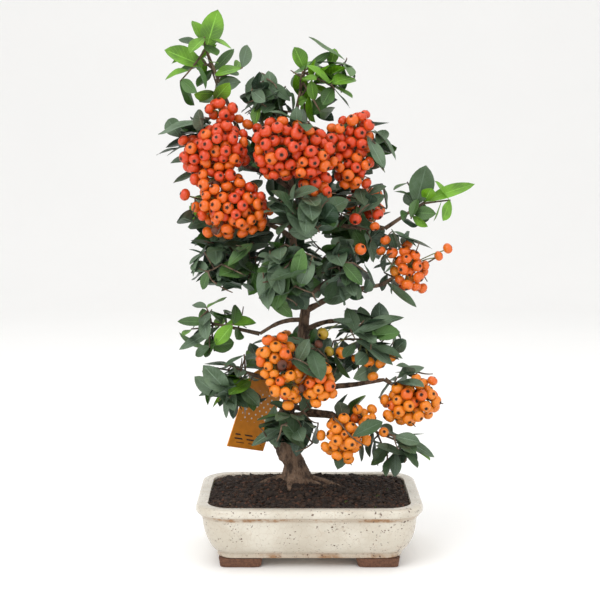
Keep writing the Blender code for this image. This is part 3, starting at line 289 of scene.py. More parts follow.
def smooth(points, count):
    """A Catmull-Rom curve through the points, read at equal steps of its parameter."""
    points = np.asarray(points, float)
    padded = np.vstack([2 * points[0] - points[1], points, 2 * points[-1] - points[-2]])
    place = np.linspace(0, len(points) - 1 - 1e-9, count)
    first = place.astype(int)
    t = (place - first)[:, None]
    a, b, c, d = (padded[first + k] for k in range(4))
    return 0.5 * (2 * b + (c - a) * t + (2 * a - 5 * b + 4 * c - d) * t**2 + (3 * b - a - 3 * c + d) * t**3)


TRUNK_CURVE = smooth(TRUNK_LINE, 90)


def trunk_at(height):
    """Middle and radius of the trunk at a height."""
    heights = TRUNK_CURVE[:, 2]
    x, y, radius = (np.interp(height, heights, TRUNK_CURVE[:, k]) for k in (0, 1, 3))
    return np.array((x, y, height)), radius


def even_directions(count, turn):
    """Directions spread evenly over a sphere, each a golden angle on from the one before."""
    k = np.arange(count) + 0.5
    polar = np.arccos(1 - 2 * k / count)
    azimuth = math.pi * (1 + math.sqrt(5)) * k + turn
    flat = np.sin(polar)
    return np.stack([np.cos(azimuth) * flat, np.sin(azimuth) * flat, np.cos(polar)], axis=1)


def shell_area(shell):
    """The area of an ellipsoid from its half axes, by a mean of their products."""
    pairs = (shell[0] * shell[1], shell[0] * shell[2], shell[1] * shell[2])
    return 4 * math.pi * (sum(pair**1.6 for pair in pairs) / 3) ** (1 / 1.6)


def room(index, points):
    """How deep points lie in the space of a mass: where it is nearer than any other, less its size."""
    own = ((points - CENTRES[index]) ** 2).sum(1) - SIZES[index] ** 2
    others = np.arange(len(CENTRES)) != index
    gaps = ((points[:, None] - CENTRES[others]) ** 2).sum(2) - SIZES[others] ** 2 - own[:, None]
    return (gaps / (2 * np.linalg.norm(CENTRES[others] - CENTRES[index], axis=1))).min(1)


def home_of(point):
    """The mass whose space holds a point."""
    return int(np.argmin(((CENTRES - point) ** 2).sum(1) - SIZES**2))


class Limbs:
    """Every limb as short straight runs with a radius and an owner, for keeping others clear of it."""

    def __init__(self):
        self.starts, self.ends, self.radii, self.owners = [], [], [], []

    def add(self, points, radii, owner):
        """Adds a line of points as runs, each as thick as its thicker end."""
        for k in range(len(points) - 1):
            self.starts.append(points[k])
            self.ends.append(points[k + 1])
            self.radii.append(max(radii[k], radii[k + 1]))
            self.owners.append(owner)

    def on_runs(self, points, counted, least=0.0):
        """For each point, the place nearest to it on each of the counted runs."""
        starts, ends = np.array(self.starts)[counted], np.array(self.ends)[counted]
        runs = ends - starts
        share = ((points[:, None] - starts) * runs).sum(2) / (runs * runs).sum(1)
        return starts + np.clip(share, least, 1)[:, :, None] * runs

    def gap(self, points, owner=None):
        """The least distance from the points to any limb that the owner doesn't own."""
        counted = np.array([held != owner for held in self.owners])
        away = np.linalg.norm(points[:, None] - self.on_runs(points, counted), axis=2)
        return (away - np.array(self.radii)[counted]).min()

    def nearest(self, point, owner):
        """The point on the owner's limbs that is nearest to a point."""
        return self.nearest_on(point, np.array([held == owner for held in self.owners]))

    def nearest_on(self, point, counted, least=0.0):
        """The point on the counted runs that is nearest to a point, past a least share of its run."""
        on = self.on_runs(point[None], counted, least)[0]
        return on[np.argmin(np.linalg.norm(on - point, axis=1))]


def bough_line(bough):
    """A bough's middle line from inside the trunk to its tip, and its radii."""
    start, _ = trunk_at(bough.height)
    line = bent(start, np.array(bough.tip), bough.lift, 4)
    return line, np.linspace(bough.base_radius, bough.tip_radius, 4)


def carrier_end(mass):
    """Where the stem of a mass begins, the way its carrier points there, and the carrier's radius."""
    if not isinstance(mass.carrier, str):
        start, _ = trunk_at(mass.carrier)
        return start, unit(np.array(mass.tip) - start), STEM_RADIUS
    if mass.carrier == "trunk":
        line, radius = TRUNK_CURVE[:, :3], TRUNK_CURVE[-1, 3]
    else:
        bough = BOUGHS[mass.carrier]
        line, radius = bough_line(bough)[0], bough.tip_radius
    heading = unit(line[-1] - line[-2])
    return line[-1] + STEM_GAP * heading, heading, radius


def stem_line(mass):
    """The stem of a mass to its tip, from just past its bough's end or from inside the trunk."""
    start, _, radius = carrier_end(mass)
    return bent(start, np.array(mass.tip, float), 0.0, 3), np.linspace(radius + 0.4, TWIG_RADIUS + 0.4, 3)


def label_hole():
    """The middle of the label's hole, and the label's up and outward directions."""
    side, up = unit(LABEL_ACROSS), unit(LABEL_UP)
    middle = np.array(LABEL_CORNER) + side * LABEL_SIZE[0] / 2 + up * (LABEL_SIZE[1] - HOLE_DROP)
    return middle, up, unit(np.cross(side, up))


def wire_line():
    """The wire: over its bough, down to the label, and through the hole from the front."""
    points, radii = bough_line(BOUGHS[WIRE_BOUGH])
    place = WIRE_SHARE * (len(points) - 1)
    first = int(place)
    on = points[first] + (points[first + 1] - points[first]) * (place - first)
    along = unit(points[first + 1] - points[first])
    hole, up, front = label_hole()
    toward = across(hole - on, along)
    above = across(np.array((0.0, 0.0, 1.0)), along)
    off = radii[first] + WIRE_RADIUS + 0.5
    return np.array((
        on - toward * off * 1.25 - above * 0.4, on + above * off * 1.3 - toward * off * 0.5,
        on + above * off * 1.3 + toward * off * 0.7, on + toward * off * 1.8 + above * 0.2,
        hole + front * 4.0 + up * 8.0, hole + front * 2.6 + up * 1.4,
        hole + up * 0.95 + front * 0.6, hole + up * 0.95 - front * 1.4, hole - front * 3.0 + up * 3.0,
    ))


def all_limbs():
    """Trunk, boughs, stems, and the wire and the label, which foliage keeps clear of in the same way."""
    limbs = Limbs()
    wire = wire_line()
    limbs.add(wire, np.full(len(wire), WIRE_RADIUS + WIRE_GUARD), "label")
    limbs.add(TRUNK_CURVE[::3, :3], TRUNK_CURVE[::3, 3], "trunk")
    for name, bough in BOUGHS.items():
        limbs.add(*bough_line(bough), name)
    for index, mass in enumerate(MASSES.values()):
        limbs.add(*stem_line(mass), index)
    across_label, up_label = np.array(LABEL_ACROSS), np.array(LABEL_UP)
    for share in LABEL_GUARDS:
        foot = np.array(LABEL_CORNER) + across_label * LABEL_SIZE[0] * share
        limbs.add([foot, foot + up_label * LABEL_SIZE[1]], [GUARD_RADIUS, GUARD_RADIUS], "label")
    return limbs


class Leaf(NamedTuple):
    """A blade from its base along a direction, with the way its upper side faces."""

    base: np.ndarray
    direction: np.ndarray
    normal: np.ndarray
    length: float
    width: float

    def place(self, outline):
        """Points given as shares of the leaf's length and width, in the leaf's own plane."""
        side = np.cross(self.normal, self.direction)
        return self.base + outline[:, :1] * self.length * self.direction + outline[:, 1:] * self.width * side


# Points all over a leaf, as shares of its length and width; the first few lie near its base
LEAF_SAMPLES = np.array([
    (x, y) for x in np.linspace(0.2, 1, 7) for y in (-0.46, -0.23, 0, 0.23, 0.46) if x < 1 or y == 0
])
BASE_SAMPLES = 5


class Growth:
    """What grows on the stem of one mass by the seeded rule of the solids: twigs, leaves and fruit."""

    def __init__(self, index, limbs):
        self.index, self.limbs = index, limbs
        self.mass = list(MASSES.values())[index]
        self.rng = np.random.default_rng(SEED + index)
        self.centre, self.reach = np.array(self.mass.centre, float), np.array(self.mass.reach, float)
        self.twigs, self.leaves, self.fruit, self.singles = [stem_line(self.mass)], [], [], []
        self.leaf_points = []
        self.core = self.shape_core() if self.mass.core else None
        self.branches = Limbs()
        self.branches.add(*self.twigs[0], "stem")
        self.clusters = [
            (np.array(middle, float), np.array(shell, float))
            for middle, shell in FRUIT_CLUSTERS
            if home_of(middle) == index
        ]

    def fits(self, points, radius, reach=1.0):
        """Whether points with a radius stay in the space, in reach, and clear of the limbs of others."""
        if room(self.index, points).min() < radius + LEAF_MARGIN:
            return False
        if reach and np.linalg.norm((points - self.centre) / self.reach, axis=1).max() > reach:
            return False
        return self.limbs.gap(points, self.index) > radius + LIMB_GAP

    def shape_core(self):
        """Corners of the mass's core: rings round its centre, drawn in where its space ends or a
        limb runs."""
        azimuth = np.arange(CORE_SIDES) * 2 * math.pi / CORE_SIDES
        polar = math.pi * (np.arange(CORE_RINGS) + 0.75) / (CORE_RINGS + 0.5)
        flat, up = np.sin(polar)[:, None], np.cos(polar)[:, None] * np.ones(CORE_SIDES)
        rings = np.stack([flat * np.cos(azimuth), flat * np.sin(azimuth), up], axis=2).reshape(-1, 3)
        corners = np.vstack([(0.0, 0.0, 1.0), rings, (0.0, 0.0, -1.0)])
        probes = even_directions(CORE_PROBES, 0.0)
        shares = np.linspace(0.1, self.mass.core, 9)
        depth = np.empty(len(probes))
        for k, probe in enumerate(probes):
            ray = self.centre + shares[:, None] * probe * self.reach
            free = [self.fits(point[None], 0.5) for point in ray]
            depth[k] = shares[free.index(False) - 1] if False in free[1:] else shares[-1]
        near = corners @ probes.T > math.cos(CORE_CONE)
        reached = np.where(near, depth, 1.0).min(1)
        return self.centre + corners * reached[:, None] * self.reach

    def core_seats(self):
        """Places spread over the core, a little under its skin, and the way out there."""
        rings = self.core[1:-1].reshape(CORE_RINGS, CORE_SIDES, 3)
        after = np.roll(rings, -1, axis=1)
        middles = (rings[:-1] + rings[1:] + after[:-1] + after[1:]).reshape(-1, 3) / 4
        caps = [(3 * self.core[0] + rings[0, k] + rings[0, k + 1]) / 5 for k in (0, 3)]
        caps += [(3 * self.core[-1] + rings[-1, k] + rings[-1, k + 1]) / 5 for k in (1, 4)]
        places = np.vstack([middles, caps])
        outward = (places - self.centre) / np.linalg.norm(places - self.centre, axis=1)[:, None]
        return places - CORE_SUNK * outward, outward

    def outside_core(self, points):
        """Whether every point lies further out than the core's corner nearest its way."""
        if self.core is None:
            return True
        ways = (self.core - self.centre) / self.reach
        depths = np.linalg.norm(ways, axis=1)
        offsets = (points - self.centre) / self.reach
        lengths = np.linalg.norm(offsets, axis=1)
        nearest = (offsets @ (ways / depths[:, None]).T).argmax(1)
        return bool((lengths > depths[nearest] * 1.02).all())

    def clear_of_fruit(self, points):
        """Whether points stay out of every cluster and clear of every single fruit."""
        for middle, shell in self.clusters:
            if (((points - middle) / (shell + FRUIT_RADIUS + FRUIT_GAP)) ** 2).sum(1).min() < 1:
                return False
        least = FRUIT_RADIUS + FRUIT_GAP
        return all(np.linalg.norm(points - fruit, axis=1).min() > least for fruit in self.singles)

    def add_twig(self, start, tip, radii):
        """Adds a straight twig, and its line to the branches that leaves keep clear of."""
        line = np.array((start, tip))
        self.twigs.append((line, radii))
        self.branches.add(line, radii, "twig")
        return line

    def free_of_leaves(self, points):
        """Whether points keep their gap to every leaf."""
        return all(
            np.linalg.norm(points[:, None] - other, axis=2).min() > LEAF_GAP for other in self.leaf_points
        )

    def stalk_to(self, point):
        """The start of a stalk to a point, on the nearest limb of this mass, if the way is free."""
        start = self.limbs.nearest(point, self.index)
        way = start + (point - start) * np.linspace(0.15, 1, 6)[:, None]
        return start if self.fits(way, 0.6, None) else None

    def add_leaf(self, leaf, reach=LEAF_REACH):
        """Adds a leaf if there is room for it, and says whether there was."""
        points = leaf.place(LEAF_SAMPLES)
        blade = points[BASE_SAMPLES:]
        if not self.fits(points, 0.3, reach) or not self.clear_of_fruit(points):
            return False
        if self.branches.gap(blade) < TWIG_GAP or not self.free_of_leaves(blade):
            return False
        if not self.outside_core(blade):
            return False
        self.leaf_points.append(blade)
        self.leaves.append(leaf)
        return True

    def apart(self, point):
        """Whether a fruit would stand clear of the others."""
        return all(np.linalg.norm(other - point) > 1.85 * FRUIT_RADIUS for other in self.fruit)

    def grow_fruit(self):
        """The coarse fruit of the clusters and the single fruit, with the stalks that carry them."""
        for middle, shell in self.clusters:
            start = self.stalk_to(middle)
            start = self.limbs.nearest(middle, self.index) if start is None else start
            self.add_twig(start, middle, CLUSTER_RADII)
            count = max(4, round(shell_area(shell) / (0.87 * FRUIT_SPACING**2)))
            for direction in even_directions(count, self.rng.uniform(0, 6)):
                point = middle + shell * direction
                if self.fits(point[None], FRUIT_RADIUS, None) and self.apart(point):
                    self.fruit.append(point)
        for point in np.array(FRUIT_SINGLES, float):
            start = self.stalk_to(point) if home_of(point) == self.index else None
            if start is not None and self.fits(point[None], FRUIT_RADIUS, None) and self.apart(point):
                self.add_twig(start, point, SINGLE_RADII)
                self.singles.append(point)
                self.fruit.append(point)

    def grow_outline(self):
        """The leaves that the crown's outline names, each on a short stalk from the nearest limb."""
        for base, tip, width in OUTLINE_LEAVES:
            base, tip = np.array(base, float), np.array(tip, float)
            if home_of((base + tip) / 2) != self.index:
                continue
            start = self.stalk_to(base)
            direction = unit(tip - base)
            facing = across(np.array((0.15, -1.0, 0.55)), direction)
            leaf = Leaf(base, direction, facing, np.linalg.norm(tip - base), width)
            if start is not None and self.add_leaf(leaf, None) and np.linalg.norm(base - start) > 0.5:
                self.add_twig(start, base + direction * 1.2, LEAF_RADII)

    def leaf_from(self, start, heading, length):
        """A leaf that starts on a twig and faces up and outwards; it is turned until it fits."""
        for turn in range(LEAF_TURNS):
            direction = unit(heading + self.rng.normal(0, 0.25 + 0.06 * turn, 3))
            outward = unit(start - self.centre + (0, 0, 0.4 * length))
            facing = across(outward + (0, -0.15, 0.5) + self.rng.normal(0, 0.3, 3), direction)
            size = length * self.rng.uniform(0.82, 1.18) * (1 - 0.3 * turn / LEAF_TURNS)
            leaf = Leaf(start, direction, facing, size, size * self.rng.uniform(0.5, 0.62))
            if self.add_leaf(leaf):
                return

    def leaves_along(self, line, count, length):
        """Leaves in turn round a twig, a golden angle apart, and one at its end."""
        along = unit(line[-1] - line[0])
        self.leaf_from(line[-1] - along * 0.5, along, length * 1.1)
        side = across(np.array((0.2, 0.3, 1.0)), along)
        other = np.cross(along, side)
        angle = self.rng.uniform(0, 6)
        for share in np.linspace(0.95, 0.4, count):
            angle += GOLDEN_TURN
            place = share * (len(line) - 1)
            first = min(int(place), len(line) - 2)
            start = line[first] + (line[first + 1] - line[first]) * (place - first)
            spread = math.cos(angle) * side + math.sin(angle) * other
            self.leaf_from(start, 0.7 * along + spread, length)

    def grow_twigs(self):
        """Twigs that spread from the stem towards an even set of directions, with leaves along them."""
        stem, _ = self.twigs[0]
        for direction in even_directions(self.mass.twigs, self.rng.uniform(0, 6)):
            start = stem[1] + (stem[-1] - stem[1]) * self.rng.uniform(0.2, 1.0)
            for share in np.linspace(0.9, 0.3, 8):
                tip = self.centre + self.reach * direction * share
                way = start + (tip - start) * np.linspace(0.2, 1, 6)[:, None]
                if np.linalg.norm(tip - start) < LEAST_TWIG:
                    continue
                if not self.fits(way, 2.5) or not self.clear_of_fruit(way):
                    continue
                if self.free_of_leaves(way) and self.branches.gap(way[2:]) > TWIG_GAP:
                    line = self.add_twig(start, tip, TWIG_RADII)
                    self.leaves_along(line, LEAVES_ON_TWIG, self.mass.leaf)
                    break
        self.leaves_along(stem, 4, self.mass.leaf)

    def grow_on_core(self):
        """Leaves that stand out of the core all round, each leaning its own way over it."""
        places, outward = self.core_seats()
        order = self.rng.permutation(len(places))
        before = len(self.leaves)
        for k in order:
            if len(self.leaves) - before >= CORE_LEAVES:
                break
            lean = across(self.rng.normal(0, 1, 3) + (0, 0, 0.3), outward[k])
            self.leaf_from(places[k], 0.75 * outward[k] + lean, self.mass.leaf)

    def grow(self):
        """Grows the whole mass as the solids have it."""
        self.grow_fruit()
        self.grow_outline()
        if self.core is not None:
            self.grow_on_core()
        self.grow_twigs()
        return self


def corner_arcs(inset, steps):
    """The four rounded corners of a rectangle inside the rim's outline, counter-clockwise."""
    half_x, half_y = POT_WIDTH / 2 - inset, POT_DEPTH / 2 - inset
    corner = max(RIM_CORNER - 0.75 * inset, 6.0)
    arcs = []
    for quarter, (side_x, side_y) in enumerate(((1, 1), (-1, 1), (-1, -1), (1, -1))):
        angle = math.pi / 2 * (quarter + np.linspace(0, 1, steps))
        x = side_x * (half_x - corner) + corner * np.cos(angle)
        y = side_y * (half_y - corner) + corner * np.sin(angle)
        arcs.append(np.stack([x, y], -1))
    return arcs


def inner_inset(height):
    """How far the inner wall lies inside the rim's edge at a height."""
    heights, insets = zip(*POT_INSIDE[::-1])
    return float(np.interp(height, heights, insets))


def soil_height(share):
    """Height of the soil at a share of the way from the trunk to the wall: a flat seat, then a mound."""
    slope = np.clip((share - SEAT_SHARE) / (1 - SEAT_SHARE), 0, 1)
    return SOIL_EDGE + (SOIL_SEAT - SOIL_EDGE) * (0.5 + 0.5 * np.cos(math.pi * slope**0.85))


def share_at(point):
    """A point's share of the way from the trunk's foot to the soil's edge, for the mound's height."""
    middle = np.array(TRUNK_LINE[0][:2])
    edge = np.concatenate(corner_arcs(inner_inset(SOIL_EDGE) + CLEAR + 0.2, CORNER_STEPS + 1))
    way = point[:2] - middle
    lengths = np.linalg.norm(edge - middle, axis=1)
    toward = ((edge - middle) / lengths[:, None]) @ (way / max(np.linalg.norm(way), 1e-6))
    return np.linalg.norm(way) / lengths[np.argmax(toward)]


# The middle of the pot, in millimetres, from the frame's own origin
POT_BOX = np.array(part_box("pot"))
SHIFT = np.array((*(POT_BOX[:, :2].mean(0) / MM), 0.0))
# Studio: the camera's place, and each light's name, place, size in metres and power in watts
CAMERA_PLACE = np.array((-6.2, -878.0, 265.0))
AIMED_AT = np.array((0.0, 0.0, 180.0))
LIGHTS = (
    ("key", (-700.0, -900.0, 1100.0), 1.1, 10.0),
    ("fill", (900.0, -700.0, 700.0), 1.4, 3.5),
    ("top", (0.0, 200.0, 1300.0), 1.4, 5.0),
)
FLOOR_HALF, FLOOR_FRONT, FLOOR_BEND, FLOOR_CURVE, FLOOR_TOP = 4000.0, -3000.0, 1400.0, 900.0, 5000.0
FLOOR_GLOW = 0.015
SKY_STRENGTH = 0.84
DAYLIGHT = (1.0, 0.995, 0.985, 1.0)
# Finer growth: share of a mass's reach for twigs, and of that for leaves; bounds of a twig's length,
# its radii, and the least share of a branch at which one leaves it
FINE_REACH = 1.14
LEAF_SPILL = 1.16
FINE_TWIG = (6.0, 26.0)
FINE_RADII = (0.62, 0.34)
BRANCH_START = 0.1
# Turns tried for a fine leaf, how far away others are looked at, and how near they may come
FINE_TURNS = 7
LEAF_NEAR = 22.0
LEAF_CLOSEST = 0.8
# How far a stem and a twig bow, and how thick each is at its ends, as shares of the coarse ones
STEM_SHARES = (0, 1, 0.6)
TWIG_SHARES = (1, 0.95, 0.7)
# Points along and across a leaf, over and round a fruit, to a corner of the pot, up and round a foot
LEAF_ROWS, LEAF_COLUMNS = 11, 7
FRUIT_ROWS, FRUIT_COLUMNS = 10, 12
POT_STEPS = 22
FOOT_ROWS, FOOT_COLUMNS = 18, 72
# Fruit: radius, rounds of pushing apart, ripeness below which it is yellow and orange, share that is dry
BERRY_RADIUS = 3.65
FRUIT_PUSHES = 60
YELLOW_BELOW, ORANGE_BELOW = 0.27, 0.8
DRY_SHARE = 0.02
# Bark: length and width of its ridges, and length of its lumps
RIDGE_LENGTH, RIDGE_WIDTH, LUMP_LENGTH = 9, 5, 16
# Rings of the pot up its outer wall and down its inner one; how rough a foot is; how far lumps lie out
WALL_RINGS, INSIDE_RINGS = 92, 30
FOOT_RELIEF = 0.4
SOIL_REACH = 0.985
# Points along and round the trunk, a root and a bough
TRUNK_MESH, ROOT_MESH, BOUGH_MESH = (420, 88), (90, 36), (80, 24)
# Knots on the trunk: height, and the angle they face
KNOTS = ((66.0, 4.6), (82.0, 0.4), (94.0, 5.0), (111.0, 3.9), (128.0, 4.9), (151.0, 0.2), (165.0, 5.6))
# Masses with fewer or more sprays than the rest
SPRAY_SHARES = {
    "shoot_top_left": 0.0, "tuft_top_right": 0.4, "shoot_right": 0.0, "shoot_left": 0.7, "fruit_right": 0.35,
    "leaves_bottom_right": 0.9, "fruit_right_low": 0.4, "crown_top": 0.9, "fruit_high_left": 0.35,
    "fruit_low_left": 0.4, "fruit_high_right": 0.6, "leaves_front": 1.3, "leaves_left_low": 1.3,
    "leaves_front_low": 1.3,
}
# Leaf tones: colour, dust with a painted grey sheen, gloss
LEAF_TONES = {
    "dark": ((0.024, 0.055, 0.027), 0.22, 0.34),
    # this grey-green tone stands for dust and a painted grey sheen of light off glossy leaves
    "dusty": ((0.095, 0.145, 0.100), 0.40, 0.42),
    "mid": ((0.050, 0.130, 0.022), 0.08, 0.34),
    "bright": ((0.140, 0.34, 0.010), 0.0, 0.36),
}
# The leaf's paler underside: the tone it is moved towards, and how far
UNDERSIDE_TONE, UNDERSIDE_SHARE = (0.12, 0.19, 0.08), 0.3
# Shares of the leaf tones in a mass
TONES_OF = {
    "shoot_top_left": (0.05, 0.1, 0.35, 0.5),
    "tuft_top_right": (0.05, 0.05, 0.4, 0.5),
    "shoot_right": (0.1, 0.1, 0.4, 0.4),
    "shoot_left": (0.2, 0.3, 0.4, 0.1),
    "crown_top": (0.5, 0.2, 0.28, 0.02),
    "other": (0.38, 0.44, 0.17, 0.01),
}
# Fruit tones: colour, colour towards the stalk, gloss
FRUIT_TONES = {
    "red": ((0.60, 0.052, 0.010), (0.66, 0.11, 0.012), 0.26),
    "orange": ((0.68, 0.118, 0.008), (0.72, 0.19, 0.015), 0.26),
    "yellow": ((0.72, 0.20, 0.008), (0.74, 0.31, 0.03), 0.28),
    "green": ((0.42, 0.26, 0.02), (0.25, 0.32, 0.05), 0.32),
    "dry": ((0.10, 0.03, 0.015), (0.20, 0.06, 0.02), 0.6),
}
# The unripe fruit lies round this place, within this distance
UNRIPE = ((8, -24, 152), 14)
# Soil tones: share of the lumps, colour, size
SOIL_TONES = {
    "dark": (0.5, (0.026, 0.015, 0.010), 2.5),
    "brown": (0.28, (0.060, 0.031, 0.018), 2.3),
    "red": (0.14, (0.11, 0.042, 0.022), 1.8),
    "tan": (0.08, (0.19, 0.125, 0.07), 1.2),
}
# Moss: number of tufts, lumps in each and how far they spread
TUFTS, TUFT_LUMPS, TUFT_SPREAD = 9, 40, (1.6, 1.6, 0.3)


def surface_noise(rows, columns, cells, octaves, rng):
    """Fractal value noise on a grid that wraps round its columns: random lattices, each twice as fine and
    half as strong as the one before, read between their points by a smoothstep."""
    total = np.zeros((rows, columns))
    for octave in range(octaves):
        down, around = cells[0] * 2**octave, cells[1] * 2**octave
        lattice = rng.random((down + 2, around))
        y, x = np.linspace(0, down, rows, endpoint=False), np.linspace(0, around, columns, endpoint=False)
        row, column = y.astype(int), x.astype(int)
        part_y, part_x = (y - row)[:, None], x - column
        part_y, part_x = part_y**2 * (3 - 2 * part_y), part_x**2 * (3 - 2 * part_x)
        between = lattice[:, column] * (1 - part_x) + lattice[:, (column + 1) % around] * part_x
        total += (between[row] * (1 - part_y) + between[row + 1] * part_y - 0.5) / 2**octave
    return total


def grid_faces(rows, columns, closed=True):
    """Quads over rows of points; closed joins the last point of each row to its first."""
    start = np.arange(rows - 1)[:, None] * columns
    here = np.arange(columns if closed else columns - 1)
    after = (here + 1) % columns
    corners = (start + here, start + after, start + columns + after, start + columns + here)
    return np.stack(corners, -1).reshape(-1, 4)


def end_faces(columns, first, pole, outward):
    """Triangles from a pole to the ring of points that begins at first."""
    here, after = first + np.arange(columns), first + (np.arange(columns) + 1) % columns
    ring = [here, after] if outward else [after, here]
    return np.stack([np.full(columns, pole), *ring], -1)


def skin_faces(rows, columns, outward=True):
    """Faces over rings of points that two poles follow: quads between rings, triangles at both ends."""
    quads, last = grid_faces(rows, columns), rows * columns
    ends = (end_faces(columns, 0, last, not outward), end_faces(columns, last - columns, last + 1, outward))
    return [quads if outward else quads[:, ::-1], np.concatenate(ends)]


def repeated(faces, count, step):
    """The faces of count like shapes, whose points follow one another, step to a shape."""
    offsets = np.arange(count)[:, None, None] * step
    return [(part + offsets).reshape(-1, part.shape[1]) for part in faces]


def put(name, points, faces, material, uv=None, smooth_faces=True):
    """An object from arrays: points in millimetres, and one array of faces for each number of corners."""
    mesh = bpy.data.meshes.new(name)
    mesh.vertices.add(len(points))
    mesh.vertices.foreach_set("co", ((np.asarray(points) + SHIFT) * MM).astype(np.float32).ravel())
    corners = np.concatenate([part.ravel() for part in faces]).astype(np.int32)
    sides = np.concatenate([np.full(len(part), part.shape[1]) for part in faces])
    mesh.loops.add(len(corners))
    mesh.loops.foreach_set("vertex_index", corners)
    mesh.polygons.add(len(sides))
    mesh.polygons.foreach_set("loop_start", np.concatenate([[0], np.cumsum(sides)[:-1]]).astype(np.int32))
    mesh.polygons.foreach_set("use_smooth", np.full(len(sides), smooth_faces))
    if uv is not None:
        mesh.uv_layers.new(name="UVMap").uv.foreach_set("vector", uv[corners].astype(np.float32).ravel())
    mesh.update(calc_edges=True)
    mesh.validate()
    mesh.materials.append(material)
    item = bpy.data.objects.new(name, mesh)
    bpy.context.scene.collection.objects.link(item)
    return item


def keep(item, nodes=()):
    """Makes a piece ride on the part's body, in place of nodes, which are hidden."""
    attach(item, "root")
    if nodes:
        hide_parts(*nodes)


def unit_rows(vectors):
    """Vectors at length 1, in an array whose last axis holds their parts."""
    return vectors / np.linalg.norm(vectors, axis=-1, keepdims=True)


def sideways(ways):
    """For each way a direction that isn't along it."""
    return np.where(np.abs(ways[:, :1]) < 0.8, [[1.0, 0.0, 0.0]], [[0.0, 0.0, 1.0]])


def square_to(along, pick):
    """Two directions square to each way and to each other, the first nearest to pick."""
    side = unit_rows(pick - (pick * along).sum(-1, keepdims=True) * along)
    return side, np.cross(along, side)


def ring_frames(lines):
    """Two directions square to lines of points, at each point, without a twist between rings."""
    along = unit_rows(np.gradient(lines, axis=1))
    return square_to(along, sideways(unit_rows(lines[:, -1] - lines[:, 0]))[:, None])


def spokes(angles, side, other):
    """Directions round an axis, in the plane of side and other."""
    return np.cos(angles)[:, None] * side[..., None, :] + np.sin(angles)[:, None] * other[..., None, :]


def full_turn(count):
    """Even angles round a circle."""
    return np.arange(count) * 2 * math.pi / count


def tubes(lines, radii, sides):
    """Closed round limbs, all with as many rings: a ring of points square to each line at each of its
    points, and a point at each end. Gives points and faces."""
    count, rings = lines.shape[:2]
    skin = lines[:, :, None] + spokes(full_turn(sides), *ring_frames(lines)) * radii[:, :, None, None]
    points = np.concatenate([skin.reshape(count, -1, 3), lines[:, :1], lines[:, -1:]], axis=1)
    return points.reshape(-1, 3), repeated(skin_faces(rings, sides), count, points.shape[1])


def curve_between(start, tip, bow):
    """Five points from start to tip along an arc that bows out by a vector at its middle."""
    share = np.linspace(0, 1, 5)[:, None]
    return start + (tip - start) * share + 4 * share * (1 - share) * bow


def golden_places(count, turn, least, most):
    """Places through a ball of radius 1, each a golden angle on from the one before."""
    depth = ((np.arange(count) + 0.5) * 0.618034) % 1.0
    return even_directions(count, turn), (least + most * depth**0.6)[:, None]


